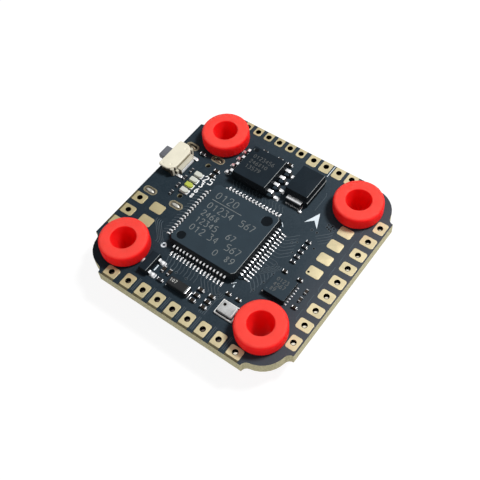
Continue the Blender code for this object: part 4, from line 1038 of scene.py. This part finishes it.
class BuildDiode(Builder, bpy.types.Operator):
    """Moulds the power diode, bends its two tabs and solders them"""
    bl_idname = "flight_board.diode"
    bl_label = "Power diode"

    def execute(self, context):
        low, high = span("power_diode")
        half_y, tab = 2.15, 0.25
        x, y = (low[0] + high[0]) / 2, high[1] - tab - half_y
        levels = moulded_levels(0.08, 1.05, high[2], context.scene.chip_look.edge / MM, 0.14, 0.08)
        body = stacked(rounded(1.7, half_y, 0.08), levels) + [x, y, 0]
        Shape(body).make("diode_body", "matt_epoxy", "black_epoxy", ("power_diode",))
        tabs, joints = Shape(), Shape()
        for reach, turn in ((y - low[1], 270), (high[1] - y, 90)):
            bend = reach - 0.1
            path = bent([(2.0, 0, 0.95), (bend, 0, 0.95), (bend, 0, 0.12), (2.0, 0, 0.12)], 0.16, 6)
            land = block(0.35, 1.1, 0.12, *LAND, 3) + [reach - 0.3, 0.0, 0.0]
            tabs.grid(placed(carried(path, ACROSS_Y, rounded(0.1, 1.07, 0.03, 1)), [(x, y)], turn))
            joints.grid(placed(land, [(x, y)], turn))
        tabs.make("diode_tabs", "bright_solder", "bright_tin")
        for aside, behind, wide in ((1.12, 0.2, 0.34), (-0.2, 0.12, 0.13)):
            joints.grid(mound(wide, wide * 0.75, 0.2, 0.02) + [x + aside, low[1] - behind, 0.0])
        joints.make("diode_solder", "bright_solder", "bright_tin")
        return {"FINISHED"}


class BuildSmallChips(Builder, bpy.types.Operator):
    """Moulds the voltage regulator, and the buck converter under the board"""
    bl_idname = "flight_board.small_chips"
    bl_label = "Regulator and converter"

    def execute(self, context):
        seam = 0.48
        levels = moulded_levels(0.06, seam, 1.0, context.scene.chip_look.edge / MM, 0.1)
        body = stacked(rounded(0.65, 1.45, 0.06), levels)
        wing = gull_wing(0.6, 0.78, 0.94, 1.25, seam, 0.4, 0.12)
        land = block(0.4, 0.29, 0.1, *LAND, 3) + [1.16, 0.0, 0.0]
        toe = mound(0.46, 0.4, 0.4, 0.0, 6, 18) + [1.06, 0.0, 0.0]
        toe[..., 1] *= np.interp(toe[..., 0], [0.7, 1.4], [0.55, 1.0])
        upper, lower = middle("voltage_regulator"), middle("buck_converter") * UNDER
        three = [lead_rows(upper, 2, 1.9, (0,)), lead_rows(upper, 1, 1.9, (180,))]
        six = [lead_rows(lower, 3, 0.95, (0, 180))]
        for name, node, place, flip, rows in (("regulator", "voltage_regulator", upper, np.asarray, three),
                                              ("converter", "buck_converter", lower, below, six)):
            Shape(flip(placed(body, [place]))).make(f"{name}_body", "matt_epoxy", "black_epoxy", (node,))
            leaded(name, ("soft_solder", "soft_solder"), rows, wing, (land, toe), flip)
        return {"FINISHED"}


class BuildSupply(Builder, bpy.types.Operator):
    """Moulds the supply capacitor with its print and terminals"""
    bl_idname = "flight_board.supply"
    bl_label = "Supply capacitor"

    def execute(self, context):
        centre, (low, high) = middle("supply_capacitor"), span("supply_capacitor")
        half_x, half_y = (high - low)[:2] / 2
        top, shine = high[2], high[2] - 0.02
        levels = moulded_levels(0.05, 0.4, top, 0.07, 0.07)
        body = stacked(rounded(half_x - 0.12, half_y, 0.06) + centre, levels)
        Shape(body).make("supply_body", "dark_resin", "black_epoxy", ("supply_capacitor",))
        marks = written([("107", -1.2, -0.1, 0.42)], 0.09, top, at=centre)
        marks.make("supply_print", "worn_print", "chip_body")
        path = bent([(0.25, 0, shine), (0.34, 0, shine), (0.34, 0, 0.06), (0.0, 0, 0.06)], 0.04)
        tab = carried(path, ACROSS_Y, rounded(0.03, half_y * 0.9, 0.01, 1)) + [half_x - 0.36, 0, 0]
        foot = block(0.16, half_y * 0.8, 0.03, 0.0, 0.3, 0.04, 2) + [half_x - 0.15, 0, 0]
        toe = mound(0.08, half_y * 0.95, 0.1, 0.0, 5, 20) + [half_x + 0.1, 0, 0]
        ends = Shape(placed(tab, [centre]), placed(foot, [centre], 180), placed(toe, [centre] * 2, (0, 180)))
        ends.make("supply_ends", "bright_solder", "bright_tin")
        return {"FINISHED"}


class BuildSensors(Builder, bpy.types.Operator):
    """Builds the gyro sensor with its pads, and the barometer with its metal lid, its vent in painted shade
    """
    bl_idname = "flight_board.sensors"
    bl_label = "Gyro and barometer"

    def execute(self, context):
        centre, top = middle("gyro_sensor"), span("gyro_sensor")[1][2]
        levels = [(0.03, 0.0), (0.25, 0.0), (0.26, 0.04), (top - 0.006, 0.04), (top, 0.046)]
        body = faced(stacked(evened(rounded(1.48, 1.48, 0.05), 120) + centre, levels), 30)
        body = dished(body, centre + [-1.05, -1.0], 0.14, 0.04)
        Shape(body).make("gyro_body", "moulded_epoxy", "black_epoxy", ("gyro_sensor",))
        rows = [("0123", -0.85, 0.45, 0.5), ("4567", -0.85, -0.3, 0.5), ("89", -0.85, -1.0, 0.5)]
        written(rows, 0.09, top, at=centre).make("gyro_print", "faint_print")
        pad = block(0.12, 0.08, 0.03, SUNK, 0.1, 0.04, 2) + [1.58, 0.0, 0.0]
        pads = Shape(placed(pad, *lead_rows(centre, 7, 0.42, (0, 180))))
        pads.make("gyro_pads", "soft_solder", "bright_tin")
        centre, seat = middle("barometer_base"), span("barometer_base")[1][2]
        base = block(1.25, 1.0, 0.08, 0.02, seat, 0.03) + [*centre, 0.0]
        Shape(base).make("barometer_foot", "white_ceramic", "pale_ceramic", ("barometer_base",))
        seal = prism(rounded(1.12, 0.88, 0.08) + centre, seat - 0.01, seat + 0.006)
        Shape(seal).make("barometer_seal", "matt_epoxy", "black_epoxy")
        low, high = span("barometer_lid")
        half, inset = (high - low) / 2, 0.4
        vent = centre + [inset - half[0], half[1] - inset]
        # painted shade: dark disc inside the vent
        Shape(disc(0.19) + [*vent, high[2] - 0.02]).make("barometer_vent", "open_hole")
        outline = evened(rounded(half[0] + 0.04, half[1] + 0.06, 0.2, 6), 140) + centre
        lid = faced(stacked(outline, soft_levels(seat + 0.002, high[2], 0.07)), 40)
        lid = Shape(dished(lid, vent, 0.2, 0.3, 0.05))
        lid.make("barometer_cover", "drawn_silver", "bright_tin", ("barometer_lid",))
        return {"FINISHED"}


class BuildLights(Builder, bpy.types.Operator):
    """Builds the four status lights"""
    bl_idname = "flight_board.lights"
    bl_label = "Status lights"

    def execute(self, context):
        nodes = named("status_light", 4)
        places, top = np.array([middle(node) for node in nodes]), span(nodes[0])[1][2]
        foot, end = block(0.6, 0.36, 0.03, 0.03, 0.2, 0.02, 2), block(0.14, 0.37, 0.05, 0.02, 0.24, 0.04, 2)
        Shape(placed(foot, places)).make("light_feet", "fired_ceramic", "pale_ceramic", nodes)
        ends = Shape(*[placed(end + [x, 0, 0], places) for x in (0.49, -0.49)])
        ends.make("light_ends", "soft_solder", "bright_tin")
        half, wide, tip = context.scene.light_look.lens / MM / 2, 0.36, 0.16
        outline = [(-half, -wide), (half * 0.5, -wide), (half, -tip), (half, tip), (half * 0.5, wide),
                   (-half, wide)]
        lens = stacked(bent(outline, 0.08, 3, True), soft_levels(0.19, top, 0.07, 0.03))
        Shape(placed(lens, places[[0, 1, 3]])).make("cream_lenses", "cream_lens", "cream_resin")
        Shape(placed(lens, places[2:3])).make("lime_lens", "lime_lens", "cream_resin")
        return {"FINISHED"}


class BuildChips(Builder, bpy.types.Operator):
    """Builds the small chip resistors and capacitors, their terminals and solder"""
    bl_idname = "flight_board.chips"
    bl_label = "Chip resistors and capacitors"

    def execute(self, context):
        kinds = {
            "resistor": [*named("light_resistor", 4), "switch_resistor", *named("sensor_resistor", 5),
                         "regulator_resistor"],
            "capacitor": [node for stem, count in (
                ("logic", 2), ("flash", 3), ("gyro", 2), ("edge", 3), ("filter", 6), ("barometer", 2),
                ("regulator", 2)) for node in named(f"{stem}_capacitor", count)],
        }
        ends, joints = Shape(), Shape()
        for kind, nodes in kinds.items():
            bodies = Shape()
            for node in nodes:
                low, high = span(node)
                size, top = high - low, high[2]
                turn = 90 if size[1] > size[0] else 0
                half, wide = size[:2].max() / 2, size[:2].min() / 2
                end, place, both = half * 0.2, middle(node), (turn, turn + 180)
                body = block(half - 0.03, wide - 0.015, 0.03, 0.03, top - 0.01, 0.02, 2)
                cap = block(end, wide, 0.06, 0.02, top, 0.05, 2) + [half - end, 0, 0]
                joint = mound(half * 0.22, wide * 0.85, top * 0.34, 0.0, 4, 12) + [half * 0.98, 0, 0]
                bodies.grid(placed(body, [place], turn))
                ends.grid(placed(cap, [place] * 2, both))
                joints.grid(placed(joint, [place] * 2, both))
            bodies.make(f"{kind}_bodies", f"{kind}_body", "chip_body", nodes)
        ends.make("chip_ends", "dull_tin", "bright_tin")
        joints.make("chip_solder", "dull_tin", "bright_tin")
        return {"FINISHED"}


class BuildSwitch(Builder, bpy.types.Operator):
    """Moulds the boot switch: walls, floor, shelf, lid, button and solder legs"""
    bl_idname = "flight_board.switch"
    bl_label = "Boot switch"

    def execute(self, context):
        look = context.scene.switch_look
        (x0, y0, low), (x2, y1, rim) = span("switch_housing")
        x1, top = span("switch_lid")[1][[0, 2]]
        (tip, b0, bz0), (back, b1, bz1) = span("switch_button")
        mid, cut, window = (y0 + y1) / 2, 0.75, 0.925
        outline = [(x0, y0), (x1 - cut, y0), (x1, y0 + cut), (x1, y1 - cut), (x1 - cut, y1), (x0, y1)]
        lid = stacked(evened(bent(outline, 0.3, 5, True), 150), soft_levels(rim + 0.02, top, look.edge / MM))
        lid = faced(lid, 40)
        for spot in ((x1 - cut, y0 + cut), (x1 - cut, y1 - cut), (x0 + 0.4, y0 + 0.4)):
            lid = dished(lid, spot, 0.17, 0.06, 0.06)
        Shape(lid).make("switch_cover", "ivory_plastic", "ivory_moulding", ("switch_lid",))
        wall, bevel = look.wall / MM / 2, cut * 1.1
        end = y0 + wall + 0.3
        inner = bent([(x0 + wall, mid - window), (x0 + wall, end), (x1 - bevel, end), (x1 - wall, y0 + bevel),
                      (x1 - wall, y1 - bevel), (x1 - bevel, y1 - wall), (x0 + wall, y1 - wall),
                      (x0 + wall, mid + window)], 0.1)
        path = np.column_stack([inner, np.full(len(inner), (low + rim) / 2)])
        housing = Shape(carried(path, ACROSS_Z, rounded(wall, (rim - low) / 2, 0.03, 2)))
        housing.grid(stacked(bent(outline, 0.1, 3, True), [(low, 0.3), (0.3, 0.3)]))
        ledge = [(x, mid + y) for x, y in ((x1 - 0.1, -1.25), (x2, -1.25), (x2, 1.25), (x1 - 0.1, 1.25))]
        housing.grid(stacked(bent(ledge, 0.08, 3, True), soft_levels(0.07, 0.85, 0.06)))
        shoulder = block(0.17, 0.2, 0.04, 0.19, 0.72, 0.05)
        post = stacked(circle(0.26), soft_levels(0.1, 1.28, 0.08))
        for side in (-1, 1):
            housing.grid(shoulder + [x1 + 0.1, mid + side * 1.45, 0])
            housing.grid(post + [x1 - 0.3, mid + side * ((y1 - y0) / 2 - 0.3), 0])
        # walls in the darker copy of the ivory, as painted shade
        housing.make("switch_walls", "aged_ivory", "ivory_moulding", ("switch_housing",))
        # painted highlight: a white strip on the shelf's right face, where light falls
        plate = block(0.03, 1.15, 0.02, 0.16, 0.62, 0.02, 1) + [x2, mid, 0]
        Shape(plate).make("switch_strip", "white_strip", "ivory_moulding")
        # painted shade: a dark strip in the recess between lid and shelf
        seam = prism(rounded(0.02, 1.3, 0.01, 1), 0.86, rim) + [x1, mid, 0]
        Shape(seam).make("switch_seam", "tan_seam", "ivory_moulding")
        half_z, centre = (bz1 - bz0) / 2, [0, mid, (bz0 + bz1) / 2]
        stem = block(0.875, half_z, 0.1, -back, -tip, 0.16)
        collar = prism(rounded((b1 - b0) / 2, half_z, 0.05, 2), -back, -back + 0.3)
        button = Shape(stem @ LYING_LEFT + centre, collar @ LYING_LEFT + centre)
        button.make("switch_plunger", "grey_button", "grey_plastic", ("switch_button",), "button")
        legs, nodes = Shape(), ("switch_leg_rear", "switch_leg_front")
        for node in nodes:
            a, b = span(node)
            x, y, _ = (a + b) / 2
            legs.grid(block(*(b - a)[:2] / 2, 0.06, a[2], b[2], 0.05, 3) + [x, y, 0])
            legs.grid(mound(0.24, 0.27, 0.18) + [b[0] - 0.08, y, 0])
        legs.make("switch_legs", "bright_solder", "bright_tin", nodes)
        coated("switch_spring", finish("bright_solder"))
        return {"FINISHED"}


class BuildSocket(Builder, bpy.types.Operator):
    """Draws the data socket's shell with its legs, and moulds the contact block with its contacts"""
    bl_idname = "flight_board.socket"
    bl_label = "Data socket"

    def execute(self, context):
        low, high = span("socket_shell")
        wall = context.scene.socket_look.wall / MM
        mouth, back = low[0], high[0] - 0.03
        mid_y, half_y, half_z = (low[1] + high[1]) / 2, (high[1] - low[1]) / 2, 1.58
        mid_z = low[2] + half_z
        centre = [0, mid_y, mid_z]
        turn = np.radians(np.linspace(0, 180, 9))
        lip = np.column_stack([-mouth - wall / 2 + wall / 2 * np.sin(turn), wall / 2 * (1 - np.cos(turn))])
        levels = np.vstack([[-back, 0.0], lip, [-back, wall]])
        oval = stacked(rounded(half_y, half_z, half_z - 0.01, 10), levels)
        shell, springs = Shape(oval @ LYING_LEFT + centre, loop=True), Shape()
        leg = block(0.55, 0.13, 0.05, mid_z, -0.32, 0.1, 2)
        spring = stacked(rounded(1.5, 0.42, 0.3), [(0.0, 0.0), (-0.05, 0.02), (-0.08, 0.12)])
        for side in (-1, 1):
            springs.grid(spring + [mouth + 2.6, mid_y + side * 1.9, low[2] + 0.085])
            for x in LEG_X:
                shell.grid(leg + [x, mid_y + side * (half_y - 0.16), 0])
        shell.make("socket_sleeve", "plated_shell", "plated_steel", ("socket_shell",))
        springs.make("socket_springs", "plated_shell", "plated_steel")
        plug_y, plug_z = half_y - wall - 0.02, half_z - wall - 0.02
        plug = prism(rounded(plug_y, plug_z, plug_z - 0.02, 8), -back + 0.02, -back + 2.0)
        tongue = block(3.345, 0.35, 0.12, -back + 1.9, -mouth - 0.6, 0.12)
        core = Shape(plug @ LYING_LEFT + centre, tongue @ LYING_LEFT + centre)
        core.make("socket_core", "black_contact_block", "black_moulding", ("socket_contact_block",))
        count, pitch = 12, 0.55
        steps = (np.arange(count) - (count - 1) / 2) * pitch + mid_y
        places = np.column_stack([0 * steps, steps])
        seat, bend, start = -THICK - 0.095, back + 0.12, mid_z + 0.45
        path = bent([(back - 0.2, 0, start), (bend, 0, start), (bend, 0, seat), (back + 0.7, 0, seat)], 0.12)
        contacts = Shape(placed(carried(path, ACROSS_Y, rounded(0.07, 0.12, 0.02, 1)), places))
        contact = prism(rounded(1.35, 0.12, 0.04, 2), -0.01, 0.02)
        for face in (1, -1):
            contacts.grid(placed(contact * [1, 1, face] + [mouth + 2.3, 0, mid_z + face * 0.35], places))
        contacts.make("socket_contacts", "gilt_pad")
        return {"FINISHED"}


class BuildUnderside(Builder, bpy.types.Operator):
    """Presses the buck inductor and builds the clock crystal under the board"""
    bl_idname = "flight_board.underside"
    bl_label = "Inductor and crystal"

    def execute(self, context):
        low, high = span("buck_inductor")
        half, place = (high - low) / 2, middle("buck_inductor") * UNDER
        outline = evened(rounded(half[0] - 0.05, half[1], 0.35, 6), 120)
        body = faced(stacked(outline, soft_levels(0.03, 2 * half[2] + 0.02, 0.22)), 24)
        body = below(placed(dished(body, (-1.3, 1.2), 0.25, 0.05), [place]))
        Shape(body).make("inductor_block", "pressed_iron", "moulded_iron", ("buck_inductor",))
        end = block(0.3, 1.35, 0.06, -0.01, 0.75, 0.08) + [half[0] - 0.28, 0, 0]
        toe = mound(0.35, 1.3, 0.45) + [half[0] + 0.05, 0, 0]
        solder = Shape(*[below(placed(shape, [place] * 2, (0, 180))) for shape in (end, toe)])
        low, high = span("clock_crystal")
        half, place = (high - low)[:2] / 2, middle("clock_crystal") * UNDER
        base = below(placed(block(*half, 0.15, 0.02, 0.35, 0.04), [place]))
        Shape(base).make("crystal_base", "fired_ceramic", "pale_ceramic", ("clock_crystal",))
        lid = below(placed(block(*(half - 0.14), 0.3, 0.34, 0.75, 0.1, 6), [place]))
        Shape(lid).make("crystal_lid", "drawn_silver", "bright_tin")
        corners = place + np.array([(1, 1), (-1, 1), (-1, -1), (1, -1)]) * (half - [0.2, 0.3])
        solder.grid(below(placed(mound(0.35, 0.4, 0.22), corners)))
        solder.make("underside_solder", "bright_solder", "bright_tin")
        return {"FINISHED"}


AIM = np.array([0.764, -1.554, 0.0])  # where the camera looks
FLOOR_REACH = 2.0
WHITE = 0.9  # brightness of the floor and the sky to the camera
# Each lamp: direction from the board, distance and width in metres
LAMPS = {"key": ((0.48, 0.56, 1.20), 0.26, 0.055), "fill": ((0.30, -1.0, 0.32), 0.26, 0.2)}


class BuildStage(Builder, bpy.types.Operator):
    """Sets the floor, the lamps, the sky and the camera"""
    bl_idname = "flight_board.stage"
    bl_label = "Stage"

    def execute(self, context):
        look, scene = context.scene.stage_look, context.scene
        turns = np.array([look.azimuth, look.elevation, look.roll])
        (sin_az, sin_el, sin), (cos_az, cos_el, cos) = np.sin(turns), np.cos(turns)
        back = np.array([sin_az * cos_el, -cos_az * cos_el, sin_el])
        right = np.array([cos_az, sin_az, 0.0])
        up = np.cross(back, right)
        target = ORIGIN + AIM * MM
        camera = bpy.data.cameras.new("camera")
        camera.lens, camera.clip_start = look.lens, MM
        stage = [stood("camera", camera, target + back * look.distance,
                       (cos * right + sin * up, cos * up - sin * right, back))]
        scene.camera = stage[0]
        for name, (way, distance, size) in LAMPS.items():
            lamp = bpy.data.lights.new(f"{name}_lamp", "AREA")
            lamp.energy, lamp.size = getattr(look, name), size
            way = np.array(way) / np.linalg.norm(way)
            side = np.cross(ACROSS_Z, way)
            side /= np.linalg.norm(side)
            axes = (side, np.cross(way, side), way)
            stage.append(stood(f"{name}_lamp", lamp, ORIGIN + way * distance, axes))
        mesh = bpy.data.meshes.new("floor")
        corners = np.array([(-1, -1, 0), (1, -1, 0), (1, 1, 0), (-1, 1, 0)]) * FLOOR_REACH
        mesh.from_pydata(corners.tolist(), [], [(0, 1, 2, 3)])
        mesh.materials.append(floor_finish(tuple(look.floor)))
        floor = stood("floor", mesh, (0.0, 0.0, 0.0), np.eye(3))
        scene.world = bpy.data.worlds.new("sky")
        scene.world.use_nodes = True
        scene.world.node_tree.nodes.clear()
        start = Shade(scene.world.node_tree)
        strength = seen_rays(start) * (WHITE - look.sky) + look.sky
        sky = start.node("ShaderNodeBackground", None, {"Color": (1.0, 1.0, 1.0, 1.0), "Strength": strength})
        start.node("ShaderNodeOutputWorld", None, {"Surface": sky})
        scene.view_settings.view_transform = "Standard"
        return {"FINISHED"}


def stood(name, data, place, axes):
    """Stands something of the stage at its place, turned to its axes."""
    made = bpy.data.objects.new(name, data)
    made.matrix_world = Matrix.Translation(place) @ Matrix(axes).transposed().to_4x4()
    bpy.context.scene.collection.objects.link(made)
    return made


def seen_rays(start):
    """1 for rays from the camera, from gloss and through glass, and 0 for the rest."""
    rays = [start.node("ShaderNodeLightPath", output=f"Is {kind} Ray")
            for kind in ("Camera", "Glossy", "Transmission")]
    return rays[0].math("MAXIMUM", rays[1]).math("MAXIMUM", rays[2])


def floor_finish(value):
    """A pale matt floor that looks white to the camera and keeps the shadow."""
    made, place = begin("pale_floor")
    seen = seen_rays(place)
    shine = seen.mix((0.0, 0.0, 0.0), (WHITE, WHITE, WHITE))
    base = seen.mix(place.noise(0.02, 2.0).mix(tone(value, 0.99), value), tone(value, 0.2))
    front = 1.0 - place.node("ShaderNodeNewGeometry", output="Backfacing")
    fixed = {"Emission Color": shine, "Emission Strength": 1.0, GLOSS: 0.0, "Alpha": front}
    return close(made, place, base, 0.9, place.noise(1.0, 2.0), 0.0, fixed)


LOOKS = {"board_look": BoardLook, "damper_look": DamperLook, "chip_look": ChipLook, "light_look": LightLook,
         "switch_look": SwitchLook, "socket_look": SocketLook, "stage_look": StageLook}
OPERATORS = [BuildBoard, BuildPads, BuildInk, BuildDampers, BuildProcessor, BuildFlash, BuildDiode,
             BuildSmallChips, BuildSupply, BuildSensors, BuildLights, BuildChips, BuildSwitch, BuildSocket,
             BuildUnderside, BuildStage]


class FlightBoardPanel(bpy.types.Panel):
    """Lists the pieces of the board and their sizes and colours."""
    bl_idname = "VIEW3D_PT_flight_board"
    bl_label = "Flight Board"
    bl_space_type = "VIEW_3D"
    bl_region_type = "UI"
    bl_category = "Flight Board"

    def draw(self, context):
        """Draws a button for each operator, then the properties of each look."""
        for operator in OPERATORS:
            self.layout.operator(operator.bl_idname)
        for name, group in LOOKS.items():
            column = self.layout.column()
            column.label(text=group.__doc__)
            for key in group.__annotations__:
                column.prop(getattr(context.scene, name), key)


def register():
    """Registers the classes and gives the scene its looks."""
    for group in (*LOOKS.values(), *OPERATORS, FlightBoardPanel):
        bpy.utils.register_class(group)
    for name, group in LOOKS.items():
        setattr(bpy.types.Scene, name, PointerProperty(type=group))


def unregister():
    """Takes the looks and the classes away again."""
    for name in LOOKS:
        delattr(bpy.types.Scene, name)
    for group in (FlightBoardPanel, *reversed(OPERATORS), *reversed(list(LOOKS.values()))):
        bpy.utils.unregister_class(group)


def main():
    """Registers the classes and runs the operators in order."""
    register()
    for operator in OPERATORS:
        getattr(bpy.ops.flight_board, operator.bl_idname.split(".")[1])()


if __name__ == "__main__":
    main()
